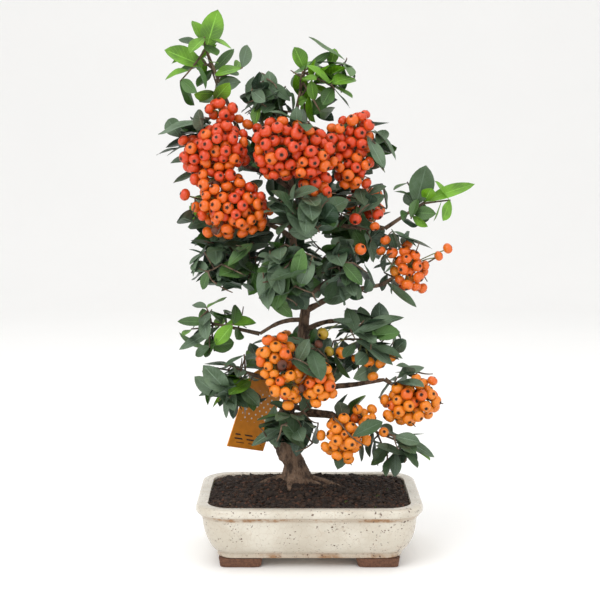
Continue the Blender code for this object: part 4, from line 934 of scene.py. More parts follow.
class FineGrowth(Growth):
    """The same growth carried further: twigs that spread on from the coarse ones to an even set of places,
    each with a spray of leaves."""

    def refine(self, density, leaf_share):
        """Adds fine twigs at a density, from the stem outwards, and starts the list of sprays."""
        self.fine = []
        self.sprays = [[leaf] for leaf in self.leaves]
        count = round(np.prod(self.reach) * 4.19 * density / 1000)
        ways, shares = golden_places(count, self.rng.uniform(0, 6), 0.38, 0.72)
        places = self.centre + ways * self.reach * shares
        stem_tip = self.twigs[0][0][-1]
        for place in places[np.argsort(np.linalg.norm(places - stem_tip, axis=1))]:
            if self.fits(place[None], 1.5, FINE_REACH) and self.clear_of_fruit(place[None]):
                self.fine_twig(place, leaf_share)
        return self

    def fine_twig(self, tip, leaf_share):
        """A thin twig to its tip from the nearest one, with its spray, where there is room for it."""
        start = self.branches.nearest_on(tip, slice(None), BRANCH_START)
        length = np.linalg.norm(tip - start)
        if length < FINE_TWIG[0]:
            return
        if length > FINE_TWIG[1]:
            near = tip - (tip - start) / length * FINE_TWIG[1]
            start = self.branches.nearest_on(near, slice(None), BRANCH_START)
        bow = across(self.rng.normal(0, 1, 3), unit(tip - start)) * length * self.rng.uniform(0.03, 0.1)
        line = curve_between(start, tip, bow)
        if self.fits(line[1:], 0.5, FINE_REACH):
            self.fine.append(line)
            self.branches.add(line[[0, 2, 4]], (0.5, 0.45, 0.4), "twig")
            self.spray_on(line, leaf_share)

    def spray_on(self, line, leaf_share):
        """A leaf at the twig's tip and three in turn round it."""
        before = len(self.leaves)
        along = unit(line[-1] - line[-2])
        size = self.mass.leaf * leaf_share
        self.fine_leaf(line[-1], along, size * 1.1)
        side = across(np.array((0.3, 0.2, 1.0)), along)
        other = np.cross(along, side)
        angle = self.rng.uniform(0, 6)
        for place in (3, 2, 1):
            angle += GOLDEN_TURN
            spread = math.cos(angle) * side + math.sin(angle) * other
            self.fine_leaf(line[place], 0.6 * along + spread, size * self.rng.uniform(0.8, 1.0))
        if len(self.leaves) > before:
            self.sprays.append(self.leaves[before:])

    def fine_leaf(self, start, heading, length):
        """A leaf that is turned and made shorter until it has room, or left out."""
        for turn in range(FINE_TURNS):
            direction = unit(heading + self.rng.normal(0, 0.2 + 0.12 * turn, 3) + (0, 0, 0.15))
            outward = unit(start - self.centre + (0, 0, 0.5 * length))
            facing = across(outward + (0, -0.1, 0.6) + self.rng.normal(0, 0.25, 3), direction)
            size = length * self.rng.uniform(0.85, 1.15) * (1 - 0.04 * turn)
            leaf = Leaf(start + direction * 0.8, direction, facing, size, size * self.rng.uniform(0.42, 0.52))
            points = leaf.place(LEAF_SAMPLES)
            inside = self.fits(points, 0.1, FINE_REACH * LEAF_SPILL) and self.clear_of_fruit(points)
            blade = points[BASE_SAMPLES:]
            if inside and self.roomy(blade):
                self.leaf_points.append(blade)
                self.leaves.append(leaf)
                return

    def roomy(self, points):
        """Whether points keep the closest distance to the leaves near them."""
        if not self.leaf_points:
            return True
        others = np.concatenate(self.leaf_points)
        near = others[np.abs(others - points.mean(0)).max(1) < LEAF_NEAR]
        return not len(near) or np.linalg.norm(points[:, None] - near, axis=2).min() > LEAF_CLOSEST


def packed_fruit(rng):
    """Every fruit of the plant: places spread over each cluster's shell, then pushed apart, and off the
    trunk, until none touch. Gives places, radii and the number of each one's cluster, -1 for none."""
    places, homes = [], []
    for number, (middle, shell) in enumerate(FRUIT_CLUSTERS):
        shell = np.array(shell, float)
        count = max(5, round(shell_area(shell) / (0.7 * (1.9 * BERRY_RADIUS) ** 2)))
        shell = shell + FRUIT_RADIUS - BERRY_RADIUS
        ways = even_directions(count, rng.uniform(0, 6))
        spread = shell * ways * rng.uniform(0.72, 1.08, (count, 1)) + rng.normal(0, 1.5, (count, 3))
        places.append(np.array(middle, float) + spread)
        homes += [number] * count
    places = np.concatenate([*places, np.array(FRUIT_SINGLES, float)])
    homes += [-1] * len(FRUIT_SINGLES)
    radii = BERRY_RADIUS * rng.uniform(0.86, 1.1, len(places))
    line = TRUNK_CURVE[::2]
    for _ in range(FRUIT_PUSHES):
        gaps = places[:, None] - places
        far = np.linalg.norm(gaps, axis=2) + np.eye(len(places)) * 99
        overlap = ((radii[:, None] + radii) * 0.99 - far).clip(0)
        places = places + (overlap[:, :, None] * 0.5 * gaps / far[:, :, None]).sum(1)
        off = places[:, None] - line[:, :3]
        gap = np.linalg.norm(off, axis=2)
        deep = (radii[:, None] + line[:, 3] + 0.5 - gap).clip(0)
        places = places + (deep[:, :, None] * off / gap[:, :, None]).max(1)
    return places, radii, homes


class Crown(NamedTuple):
    """The growth of every mass, the fruit, and each fruit's stalk and the way that it ends."""

    growths: list
    places: np.ndarray
    radii: np.ndarray
    stalks: np.ndarray
    ways: np.ndarray


@functools.cache
def crown(density, leaf_share):
    """All the growth, worked out once for the pieces that share it. A fruit's stalk runs from the middle of
    its cluster, or from the nearest twig, to the fruit's underside."""
    places, radii, homes = packed_fruit(np.random.default_rng(SEED))
    limbs = all_limbs()
    growths = [
        FineGrowth(index, limbs).grow().refine(density * SPRAY_SHARES.get(name, 1.0), leaf_share)
        for index, name in enumerate(MASSES)
    ]
    stalks, ways = [], []
    for place, radius, home in zip(places, radii, homes):
        if home < 0:
            start = limbs.nearest(place, home_of(place))
        else:
            start = np.array(FRUIT_CLUSTERS[home][0], float)
        ways.append(unit(place - start + (0, 0, 0.001)))
        tip = place - ways[-1] * radius * 0.86
        bow = np.array((0, 0, 1.0)) * min(2.0, np.linalg.norm(tip - start) * 0.1)
        stalks.append(curve_between(start, tip, bow))
    return Crown(growths, places, radii, np.array(stalks), np.array(ways))


def grown(context):
    """The growth that the scene's settings ask for."""
    settings = context.scene.firethorn_crown
    return crown(settings.density, settings.leaf_share)


def leaf_grid(leaves, rng):
    """Every leaf as a grid of points along and across it. Half its width follows a sine of its length drawn
    towards the tip, the blade folds up from the midrib, bends down towards its tip and waves at its edge."""
    count = len(leaves)
    u, v = np.linspace(0, 1, LEAF_ROWS)[:, None], np.linspace(-1, 1, LEAF_COLUMNS)
    half = np.sin(math.pi * u**1.12) ** 0.72 * 0.5
    half[0], half[-1] = 0.035, 0.0
    base, along, up = (
        np.array([leaf[part] for leaf in leaves])[:, None, None] for part in range(3)
    )
    length, width = (np.array([leaf[part] for leaf in leaves])[:, None, None] for part in (3, 4))
    fold = rng.uniform(0.12, 0.42, (count, 1, 1))
    bend = rng.uniform(-0.04, 0.2, (count, 1, 1))
    wave = rng.uniform(0.0, 0.05, (count, 1, 1))
    turn = rng.uniform(0, 6, (count, 1, 1))
    y = v * half * width
    crease = np.abs(y) * fold - 0.22 * (np.abs(v) < 0.01) * half
    z = crease - bend * length * u**2 + wave * width * np.sin(9 * u + turn) * v**2
    points = base + (u * length)[..., None] * along + y[..., None] * np.cross(up, along) + z[..., None] * up
    uv = np.stack(np.broadcast_arrays(u, v * 0.5 + 0.5), -1).reshape(1, -1, 2)
    return points.reshape(-1, 3), np.broadcast_to(uv, (count, uv.shape[1], 2)).reshape(-1, 2)


def leaf_pieces(found):
    """Deals the sprays of leaves out to tones and joins each tone's leaves."""
    rng = np.random.default_rng(SEED + 100)
    dealt = {tone: [] for tone in LEAF_TONES}
    for name, growth in zip(MASSES, found.growths):
        for spray in growth.sprays:
            number = int(rng.choice(len(LEAF_TONES), p=TONES_OF.get(name, TONES_OF["other"])))
            dealt[list(LEAF_TONES)[number]] += spray
    made = []
    for tone, leaves in dealt.items():
        points, uv = leaf_grid(leaves, rng)
        blade = grid_faces(LEAF_ROWS, LEAF_COLUMNS, closed=False)
        faces = repeated([blade], len(leaves), LEAF_ROWS * LEAF_COLUMNS)
        made.append(put("leaves_" + tone, points, faces, leaf_material(tone, *LEAF_TONES[tone]), uv))
    return made


def twig_lines(found):
    """Coarse and fine twigs as lines of five points with their radii."""
    lines, radii = [], []
    rng = np.random.default_rng(SEED + 200)
    for growth in found.growths:
        for number, (line, ends) in enumerate(growth.twigs):
            whole = line[-1] - line[0]
            bow = across(rng.normal(0, 1, 3), unit(whole)) * np.linalg.norm(whole) * 0.04
            bowed, first, last = TWIG_SHARES if number else STEM_SHARES
            lines.append(curve_between(line[0], line[-1], bowed * bow))
            radii.append(np.linspace(ends[0] * first, ends[-1] * last, 5))
        lines += growth.fine
        radii += [np.linspace(*FINE_RADII, 5)] * len(growth.fine)
    return np.array(lines), np.array(radii)


def fruit_tone_numbers(places, rng):
    """Tones are dealt by height, redder at the top and yellower lower down."""
    ripe = (places[:, 2] - 80) / 210 + rng.normal(0, 0.16, len(places))
    red, orange, yellow, green, dry = range(len(FRUIT_TONES))
    picked = np.select([ripe < YELLOW_BELOW, ripe < ORANGE_BELOW], [yellow, orange], red)
    picked = np.where(np.linalg.norm(places - UNRIPE[0], axis=1) < UNRIPE[1], green, picked)
    return np.where(rng.random(len(places)) < DRY_SHARE, dry, picked)


def fruit_pieces(found):
    """Each fruit turned from one profile: a flattened ball with a dip at the stalk and a pit at its crown."""
    picked = fruit_tone_numbers(found.places, np.random.default_rng(SEED + 300))
    polar = np.linspace(0.0, math.pi, FRUIT_ROWS)
    out = np.sin(polar) * (1.02 + 0.03 * np.sin(polar))
    high = np.cos(polar) * 0.9
    high -= 0.20 * np.exp(-((polar / 0.34) ** 2))
    high += 0.10 * np.exp(-(((polar - math.pi) / 0.3) ** 2))
    angles, rows = full_turn(FRUIT_COLUMNS), FRUIT_ROWS - 2
    lobes = 1 + 0.018 * np.cos(5 * angles)
    each = rows * FRUIT_COLUMNS + 2
    skin_uv = np.stack(np.broadcast_arrays(angles / (2 * math.pi), polar[1:-1, None] / math.pi), -1)
    uv = np.concatenate([skin_uv.reshape(-1, 2), [[0.5, 0.0], [0.5, 1.0]]])
    made = []
    for number, (tone, finish) in enumerate(FRUIT_TONES.items()):
        chosen = picked == number
        count = int(chosen.sum())
        middles, ways = found.places[chosen], found.ways[chosen]
        size = found.radii[chosen] * (0.8 if tone == "dry" else 1.0)
        round_axis = spokes(angles, *square_to(ways, sideways(ways)))[:, None]
        ring = out[1:-1, None, None] * lobes[:, None] * round_axis
        ring = ring + high[1:-1, None, None] * ways[:, None, None]
        skin = middles[:, None, None] + ring * size[:, None, None, None]
        poles = middles[:, None] + high[[0, -1], None] * (size[:, None] * ways)[:, None]
        points = np.concatenate([skin.reshape(count, -1, 3), poles], axis=1)
        faces = repeated(skin_faces(rows, FRUIT_COLUMNS, outward=False), count, each)
        all_uv = np.broadcast_to(uv, (count, each, 2)).reshape(-1, 2)
        made.append(put("fruit_" + tone, points.reshape(-1, 3), faces, fruit_material(tone, *finish), all_uv))
    return made


def sepal_piece(found):
    """The dried sepals in each fruit's pit: a star with five points that dips in its middle."""
    corners = 10
    reach = np.where(np.arange(corners) % 2 == 0, 0.40, 0.17)[:, None]
    ways = found.ways[:, None]
    star = spokes(full_turn(corners), *square_to(found.ways, sideways(found.ways)))
    rim, dip = star * reach + 0.86 * ways, star * (reach * 0.4) + 0.79 * ways
    ring = np.concatenate([rim, dip, 0.74 * ways], axis=1)
    points = found.places[:, None] + ring * found.radii[:, None, None]
    faces = [grid_faces(2, corners), end_faces(corners, corners, 2 * corners, True)]
    faces = repeated(faces, len(points), 2 * corners + 1)
    return put("sepals", points.reshape(-1, 3), faces, plain_material("sepals", (0.025, 0.014, 0.008), 0.8))


def closed_skin(rings, poles):
    """Points and faces of a skin over rings, closed by a fan to each of two poles."""
    return np.concatenate([rings.reshape(-1, 3), poles]), skin_faces(*rings.shape[:2])


def joined_arrays(parts):
    """Several sets of points and faces as one."""
    firsts = np.cumsum([0] + [len(points) for points, _ in parts])
    faces = zip(*([part + first for part in faces] for (_, faces), first in zip(parts, firsts)))
    return np.concatenate([points for points, _ in parts]), [np.concatenate(part) for part in faces]


def bark_tube(line, radii, mesh, depth, seed, swell=None):
    """One limb with its bark: a tube round a smoothed line whose skin stands out by its swell and by ridges,
    the sharp crests of noise that is stretched along the limb, and by broad lumps."""
    rng = np.random.default_rng(seed)
    rows, columns = mesh
    path = smooth(np.column_stack([line, radii]), rows)
    side, other = (part[0] for part in ring_frames(path[None, :, :3]))
    angles = full_turn(columns)
    length = np.linalg.norm(np.diff(path[:, :3], axis=0), axis=1).sum()
    around = 2 * math.pi * path[:, 3].mean()
    cells = (max(2, round(length / RIDGE_LENGTH)), max(3, round(around / RIDGE_WIDTH)))
    ridges = 1 - 2 * np.abs(surface_noise(rows, columns, cells, 4, rng))
    lumps = surface_noise(rows, columns, (max(2, round(length / LUMP_LENGTH)), 3), 2, rng)
    form = 1.0 if swell is None else np.array([swell(angles, point) for point in path])
    radius = path[:, 3:4]
    skin = radius * form * (1 + 0.16 * lumps) + depth * (ridges - 0.6) * np.minimum(radius / 5, 1.2)
    rings = path[:, None, :3] + spokes(angles, side, other) * skin[:, :, None]
    return closed_skin(rings, path[[0, -1], :3])


def root_line(angle, length, radius):
    """A root's middle line over the mound."""
    middle = np.array((TRUNK_LINE[0][0], TRUNK_LINE[0][1], 0.0))
    turn = math.radians(angle)
    line = []
    for share in np.linspace(0.12, 1.0, 7):
        bend = turn + 0.35 * share * math.sin(5 * turn)
        point = middle + length * share * np.array((math.cos(bend), math.sin(bend), 0.0))
        point[2] = soil_height(share_at(point)) + 3.2 * (1 - share) ** 2 + 0.2 * radius
        line.append(point)
    return np.array(line)


def trunk_swell(angles, point):
    """Lobes that swell towards the roots, a slight waviness, and knots where boughs leave."""
    near_ground = math.exp(-max(point[2] - SOIL_SEAT, 0.0) / 9.0)
    lobes = sum(np.cos(angles - math.radians(root[0])).clip(0) ** 6 for root in ROOTS)
    knots = 0.0
    for height, facing in KNOTS:
        turned = np.angle(np.exp(1j * (angles - facing)))
        knots = knots + 0.22 * math.exp(-(((point[2] - height) / 3.2) ** 2)) * np.exp(-((turned / 0.6) ** 2))
    return 1.0 + 0.3 * near_ground * lobes + 0.06 * np.sin(3 * angles + point[2] * 0.13) + knots


def build_limbs(depth, plates, cracks):
    """Trunk, roots and boughs as one piece."""
    trunk = np.array(TRUNK_LINE)
    parts = [bark_tube(trunk[:, :3], trunk[:, 3], TRUNK_MESH, depth, SEED + 1, trunk_swell)]
    for number, (angle, length, radius) in enumerate(ROOTS):
        line = root_line(angle, length, radius)
        parts.append(bark_tube(line, np.linspace(radius, 1.0, 7), ROOT_MESH, depth, SEED + 10 + number))
    for number, bough in enumerate(BOUGHS.values()):
        parts.append(bark_tube(*bough_line(bough), BOUGH_MESH, depth, SEED + 30 + number))
    return put("limbs", *joined_arrays(parts), bark_material("bark_rough", plates, cracks))


def rough_skin(rings, cells, depth, rng):
    """A closed skin over rings, moved in and out from each ring's middle by noise."""
    middle = rings.mean(1, keepdims=True)
    relief = surface_noise(*rings.shape[:2], cells, 3, rng)[:, :, None] * depth
    return closed_skin(rings + unit_rows(rings - middle) * relief, middle[[0, -1], 0])


def fine_ring(inset, height, steps):
    """A rounded rectangle inside the rim's outline, with evenly many points to each corner and side."""
    arcs = corner_arcs(inset, steps)
    way = np.linspace(0, 1, steps + 2)[1:-1, None]
    runs = []
    for arc, after in zip(arcs, arcs[1:] + arcs[:1]):
        runs += [arc, arc[-1] + (after[0] - arc[-1]) * way]
    flat = np.concatenate(runs)
    return np.column_stack([flat, np.full(len(flat), height)])


def build_pot(waviness, tone):
    """The pot: rounded rectangles lofted up the outer wall, over the lip and down inside, with a slow
    unevenness of the hand-made wall."""
    profile = np.concatenate([smooth(POT_WALL, WALL_RINGS), smooth(POT_INSIDE, INSIDE_RINGS)])
    rings = np.array([fine_ring(inset, height, POT_STEPS) for height, inset in profile])
    points, faces = rough_skin(rings, (4, 10), waviness, np.random.default_rng(SEED + 2))
    return put("pot_glazed", points, faces, glaze_material(tone))


def build_feet(tone):
    """The feet: a box with rounded sides that narrows downwards, as rings of a superellipse, with a
    rough skin."""
    rng = np.random.default_rng(SEED + 3)
    angles, share = full_turn(FOOT_COLUMNS), np.linspace(0, 1, FOOT_ROWS)[:, None]
    draw = 1 - 0.09 * (1 - np.minimum(share / 0.12, 1)) ** 2
    x, y = (
        size / 2 * (0.93 + 0.07 * share) * draw * np.sign(wave) * np.abs(wave) ** 0.3
        for size, wave in zip(FOOT_SIZE, (np.cos(angles), np.sin(angles)))
    )
    parts = []
    for side_y in (-1, 1):
        for side_x in (-1, 1):
            high = share * (FOOT_HEIGHT - CLEAR)
            place = (side_x * FOOT_PLACE[0] + x, side_y * FOOT_PLACE[1] + y, high)
            rings = np.stack(np.broadcast_arrays(*place), -1)
            parts.append(rough_skin(rings, (3, 9), FOOT_RELIEF, rng))
    return put("feet_clay", *joined_arrays(parts), plain_material("clay_bare", tone, 0.85))


def soil_places(count, rng):
    """Places spread over the soil, and its height there."""
    middle = np.array(TRUNK_LINE[0][:2])
    edge = fine_ring(inner_inset(SOIL_EDGE) + CLEAR, 0.0, 12)[:, :2]
    away = edge - middle
    turn = np.arctan2(away[:, 1], away[:, 0])
    order = np.argsort(turn)
    half = np.abs(edge).max(0)
    flat = rng.uniform(-half, half, (count * 2, 2))
    off = flat - middle
    reach = np.linalg.norm(away, axis=1)[order]
    limit = np.interp(np.arctan2(off[:, 1], off[:, 0]), turn[order], reach, period=2 * math.pi)
    share = np.linalg.norm(off, axis=1) / limit
    inside = share < SOIL_REACH
    return np.column_stack([flat[inside], soil_height(share[inside])])[:count]


def granules(name, places, sizes, colour, rng):
    """Rough lumps: a ball of twelve corners, each corner drawn in or out, turned and flattened at random."""
    long = (1 + 5**0.5) / 2
    quarter = np.array([(-1, long, 0), (1, long, 0), (-1, -long, 0), (1, -long, 0)])
    ball = np.concatenate([quarter, np.roll(quarter, 1, axis=1), np.roll(quarter, 2, axis=1)])
    ball /= np.linalg.norm(ball[0])
    faces = np.array([
        (0, 11, 5), (0, 5, 1), (0, 1, 7), (0, 7, 10), (0, 10, 11), (1, 5, 9), (5, 11, 4), (11, 10, 2),
        (10, 7, 6), (7, 1, 8), (3, 9, 4), (3, 4, 2), (3, 2, 6), (3, 6, 8), (3, 8, 9), (4, 9, 5),
        (2, 4, 11), (6, 2, 10), (8, 6, 7), (9, 8, 1),
    ])
    count = len(places)
    turn, tilt = rng.uniform(0, 2 * math.pi, (2, count, 1))
    lumps = ball * rng.uniform(0.62, 1.15, (count, 12, 1)) * rng.uniform(0.6, 1.25, (count, 1, 3))
    x, y, z = np.moveaxis(lumps, -1, 0)
    x, y = x * np.cos(turn) - y * np.sin(turn), x * np.sin(turn) + y * np.cos(turn)
    y, z = y * np.cos(tilt) - z * np.sin(tilt), y * np.sin(tilt) + z * np.cos(tilt)
    points = np.stack([x, y, z * 0.75], -1) * sizes[:, None, None] + places[:, None]
    material = plain_material(name if name.startswith("soil") else "soil_" + name, colour, 0.92)
    return put(name, points.reshape(-1, 3), repeated([faces], count, 12), material, smooth_faces=False)


def build_soil(count):
    """Soil as loose lumps in four tones over the mound, and a few tufts of moss."""
    rng = np.random.default_rng(SEED + 4)
    made = []
    for tone, (share, colour, size) in SOIL_TONES.items():
        places = soil_places(round(count * share), rng)
        sizes = size * rng.uniform(0.45, 1.0, len(places)) ** 1.3
        places[:, 2] += sizes * rng.uniform(-0.2, 0.6, len(places)) + 0.3
        made.append(granules("soil_" + tone, places, sizes, colour, rng))
    spots = soil_places(TUFTS, rng)
    tufts = [spot + rng.normal(0, TUFT_SPREAD, (TUFT_LUMPS, 3)) + (0, 0, 0.9) for spot in spots]
    tufts = np.concatenate(tufts)
    made.append(granules("moss", tufts, rng.uniform(0.3, 0.7, len(tufts)), (0.09, 0.13, 0.02), rng))
    return made


class Value:
    """A socket in a node tree. Sums, differences and products of it are Math nodes."""

    def __init__(self, socket):
        self.socket = socket

    def node(self, kind, inputs, output=0, **settings):
        """One output of a new node in the same tree; its inputs are other sockets or plain values."""
        tree = self.socket.id_data
        made = tree.nodes.new(kind)
        for name, setting in settings.items():
            setattr(made, name, setting)
        for key, source in inputs.items():
            if isinstance(source, Value):
                tree.links.new(source.socket, made.inputs[key])
            else:
                made.inputs[key].default_value = source
        return Value(made.outputs[output])

    def maths(self, operation, first, second=0.0):
        """A Math node on two values."""
        return self.node("ShaderNodeMath", {0: first, 1: second}, operation=operation)

    def __add__(self, other):
        return self.maths("ADD", self, other)

    def __sub__(self, other):
        return self.maths("SUBTRACT", self, other)

    def __rsub__(self, other):
        return self.maths("SUBTRACT", other, self)

    def __mul__(self, other):
        return self.maths("MULTIPLY", self, other)

    def most(self, other):
        return self.maths("MAXIMUM", self, other)

    def least(self, other):
        return self.maths("MINIMUM", self, other)

    def sine(self):
        return self.maths("SINE", self)

    def above(self, low, high):
        """Nought below low, one above high, a smoothstep between."""
        return self.node("ShaderNodeMapRange", {0: self, 1: low, 2: high}, interpolation_type="SMOOTHSTEP")

    def below(self, low, high):
        """One below low, nought above high, a smoothstep between."""
        return 1.0 - self.above(low, high)

    def between(self, first, second):
        """A colour that goes from the first to the second by this share."""
        return self.node("ShaderNodeMix", {0: self, 6: first, 7: second}, 2, data_type="RGBA")

    def towards(self, colour, share):
        """This colour, moved towards another by a share."""
        return self.node("ShaderNodeMix", {0: share, 6: self, 7: colour}, 2, data_type="RGBA")

    def tinted(self, colour):
        """This colour multiplied by another."""
        inputs = {0: 1.0, 6: self, 7: colour}
        return self.node("ShaderNodeMix", inputs, 2, data_type="RGBA", blend_type="MULTIPLY")

    def vector(self, operation, second, output=0):
        """A Vector Math node on this and a second vector."""
        return self.node("ShaderNodeVectorMath", {0: self, 1: second}, output, operation=operation)

    def noise(self, scale, detail=4.0, rough=0.55):
        """Fractal noise at this place."""
        inputs = {"Vector": self, "Scale": scale, "Detail": detail, "Roughness": rough}
        return self.node("ShaderNodeTexNoise", inputs, "Fac")

    def cells(self, scale, feature="F1"):
        """Distance from this place to the nearest of scattered points, or to the edge between two."""
        inputs = {"Vector": self, "Scale": scale, "Randomness": 1.0}
        return self.node("ShaderNodeTexVoronoi", inputs, "Distance", feature=feature)

    def axis(self, number):
        """One of the three parts of this vector."""
        return self.node("ShaderNodeSeparateXYZ", {0: self}, number)


def begin_group(name, inputs):
    """A shader node group with named inputs and their values. Gives the inputs, and the place in
    the object."""
    tree = bpy.data.node_groups.new(name, "ShaderNodeTree")
    for label, value in inputs.items():
        kind = "NodeSocketColor" if isinstance(value, tuple) else "NodeSocketFloat"
        tree.interface.new_socket(label, in_out="INPUT", socket_type=kind).default_value = value
    given = tree.nodes.new("NodeGroupInput").outputs
    place = Value(tree.nodes.new("ShaderNodeTexCoord").outputs["Object"])
    return [Value(given[label]) for label in inputs], place


def end_group(colour, rough, height):
    """Ends a group with its three named outputs."""
    tree = colour.socket.id_data
    result = tree.nodes.new("NodeGroupOutput")
    outputs = (("Colour", "Color", colour), ("Roughness", "Float", rough), ("Height", "Float", height))
    for label, kind, source in outputs:
        tree.interface.new_socket(label, in_out="OUTPUT", socket_type="NodeSocket" + kind)
        tree.links.new(source.socket, result.inputs[label])
    return tree


def blade_place(place):
    """The place along and across a leaf or fruit, from its own UV map."""
    uv = place.node("ShaderNodeUVMap", {}, uv_map="UVMap")
    return uv.axis(0), uv.axis(1)


def finished(name, group_name, make_group, values, extra=None):
    """A Principled material whose colour, roughness and height come from a group, made when first needed."""
    material = bpy.data.materials.new(name)
    material.use_nodes = True
    tree = material.node_tree
    shader = tree.nodes["Principled BSDF"]
    node = tree.nodes.new("ShaderNodeGroup")
    node.node_tree = bpy.data.node_groups.get(group_name) or make_group(group_name)
    for key, value in values.items():
        node.inputs[key].default_value = value
    tree.links.new(node.outputs["Colour"], shader.inputs["Base Color"])
    tree.links.new(node.outputs["Roughness"], shader.inputs["Roughness"])
    height = Value(node.outputs["Height"])
    bump = height.node("ShaderNodeBump", {"Height": height, "Strength": 1.0, "Distance": 1.0})
    tree.links.new(bump.socket, shader.inputs["Normal"])
    for key, value in (extra or {}).items():
        shader.inputs[key].default_value = value
    return material


def mottled_group(name):
    """A tone and a darker shade of it, mixed by noise."""
    inputs = {"Tone": (0.5, 0.5, 0.5, 1.0), "Rough": 0.6, "Scale": 900.0, "Shade": (0.55, 0.55, 0.55, 1.0)}
    (tone, rough, scale, shade), place = begin_group(name, inputs)
    grain = place.noise(scale, 5.0)
    return end_group(grain.above(0.35, 0.65).between(tone.tinted(shade), tone), rough, grain * 0.0003)


def plain_material(name, colour, roughness, scale=900.0, shade=0.55, extra=None):
    """One tone broken up a little by noise."""
    values = {"Tone": (*colour, 1.0), "Rough": roughness, "Scale": scale, "Shade": (shade, shade, shade, 1.0)}
    return finished(name, "mottled", mottled_group, values, extra)


def leaf_group(name):
    """A blade with a pale midrib and side veins that slant towards the tip, dust with a painted grey sheen,
    and darker blotches.
    """
    inputs = {
        "Tone": (0.05, 0.12, 0.04, 1.0), "Vein Tone": (0.2, 0.28, 0.12, 1.0),
        "Dust And Sheen Tone": (0.19, 0.25, 0.21, 1.0), "Dust And Sheen": 0.3, "Gloss": 0.4,
    }
    (tone, vein_tone, dust_and_sheen_tone, dust_and_sheen, gloss), place = begin_group(name, inputs)
    along, v = blade_place(place)
    off = v.maths("ABSOLUTE", v - 0.5)
    midrib = off.below(0.012, 0.045)
    veins = ((along - off * 0.5) * 62.0).sine().above(0.82, 1.0) * off.below(0.3, 0.5)
    fine = place.noise(700.0)
    dark, light = tone.tinted((0.5, 0.55, 0.5, 1.0)), tone.tinted((1.35, 1.3, 1.2, 1.0))
    # dust and painted sheen: noise patches that move the colour towards a pale grey, for dust and the sheen
    # of light off the blade
    dusty = place.noise(130.0, 6.0, 0.7).above(0.42, 0.62) * dust_and_sheen
    colour = dusty.between(place.noise(55.0, 3.0).above(0.35, 0.65).between(dark, light), dust_and_sheen_tone)
    colour = (midrib * 0.8).most(veins * 0.3).between(colour, vein_tone)
    relief = fine * 0.00006 - veins * 0.00012 - midrib * 0.0002
    return end_group(colour, gloss + dusty * 0.35 + fine * 0.12, relief)


def leaf_material(tone, colour, dust_and_sheen, gloss):
    """The blade's finish on its upper side, paler on its underside."""
    vein = tuple(min(1.0, channel * 2.0 + 0.06) for channel in colour)
    values = {"Tone": (*colour, 1.0), "Vein Tone": (*vein, 1.0), "Dust And Sheen": dust_and_sheen, "Gloss": gloss}
    material = finished("leaf_" + tone, "leaf_blade", leaf_group, values, {"Specular IOR Level": 0.28})
    base = material.node_tree.nodes["Principled BSDF"].inputs["Base Color"]
    upper = Value(base.links[0].from_socket)
    under = upper.towards((*UNDERSIDE_TONE, 1.0), UNDERSIDE_SHARE)
    back = Value(material.node_tree.nodes.new("ShaderNodeNewGeometry").outputs["Backfacing"])
    material.node_tree.links.new(back.between(upper, under).socket, base)
    return material


def fruit_group(name):
    """Skin that is deeper round the pit, paler towards the stalk, and speckled."""
    inputs = {"Tone": (0.8, 0.15, 0.03, 1.0), "Pale Tone": (0.85, 0.35, 0.05, 1.0), "Gloss": 0.3}
    (tone, pale, gloss), place = begin_group(name, inputs)
    _, down = blade_place(place)
    broad, fine = place.noise(160.0, 3.0), place.noise(1500.0, 3.0)
    share = (down.above(0.3, 1.0) + (broad - 0.5) * 0.9).most(0.0).least(1.0)
    colour = (down.below(0.06, 0.15) * 0.75).between(share.between(tone, pale), (0.09, 0.03, 0.012, 1.0))
    colour = (fine.above(0.62, 0.72) * 0.35).between(colour, pale)
    return end_group(colour, gloss + broad * 0.15, fine * 0.00004)


def fruit_material(tone, colour, pale, gloss):
    """A fruit's skin, which lets a little light through."""
    values = {"Tone": (*colour, 1.0), "Pale Tone": (*pale, 1.0), "Gloss": gloss}
    extra = {
        "Specular IOR Level": 0.5, "Subsurface Weight": 0.12, "Subsurface Radius": (0.004, 0.0015, 0.0006),
        "Subsurface Scale": 0.6,
    }
    return finished("fruit_" + tone, "fruit_skin", fruit_group, values, extra)


def bark_group(name):
    """Bark: grey-brown plates over darker cracks, with lichen-grey flecks."""
    inputs = {
        "Plate Tone": (0.22, 0.14, 0.09, 1.0), "Crack Tone": (0.05, 0.028, 0.018, 1.0),
        "Fleck Tone": (0.36, 0.30, 0.24, 1.0),
    }
    (plate, crack, fleck), place = begin_group(name, inputs)
    stretched = place.node("ShaderNodeMapping", {"Vector": place, "Scale": (1.0, 1.0, 0.35)})
    coarse, fine = stretched.noise(260.0, 6.0, 0.65), stretched.noise(1300.0, 5.0, 0.7)
    colour = coarse.above(0.36, 0.6).between(crack, plate)
    colour = (fine.above(0.55, 0.75) * 0.55).between(colour, fleck)
    return end_group(colour, fine * 0.2 + 0.78, coarse * 0.0009 + fine * 0.0004)


def bark_material(name, plate, crack):
    """Bark in a tone for its plates and one for its cracks."""
    values = {"Plate Tone": (*plate, 1.0), "Crack Tone": (*crack, 1.0)}
    return finished(name, "bark", bark_group, values)


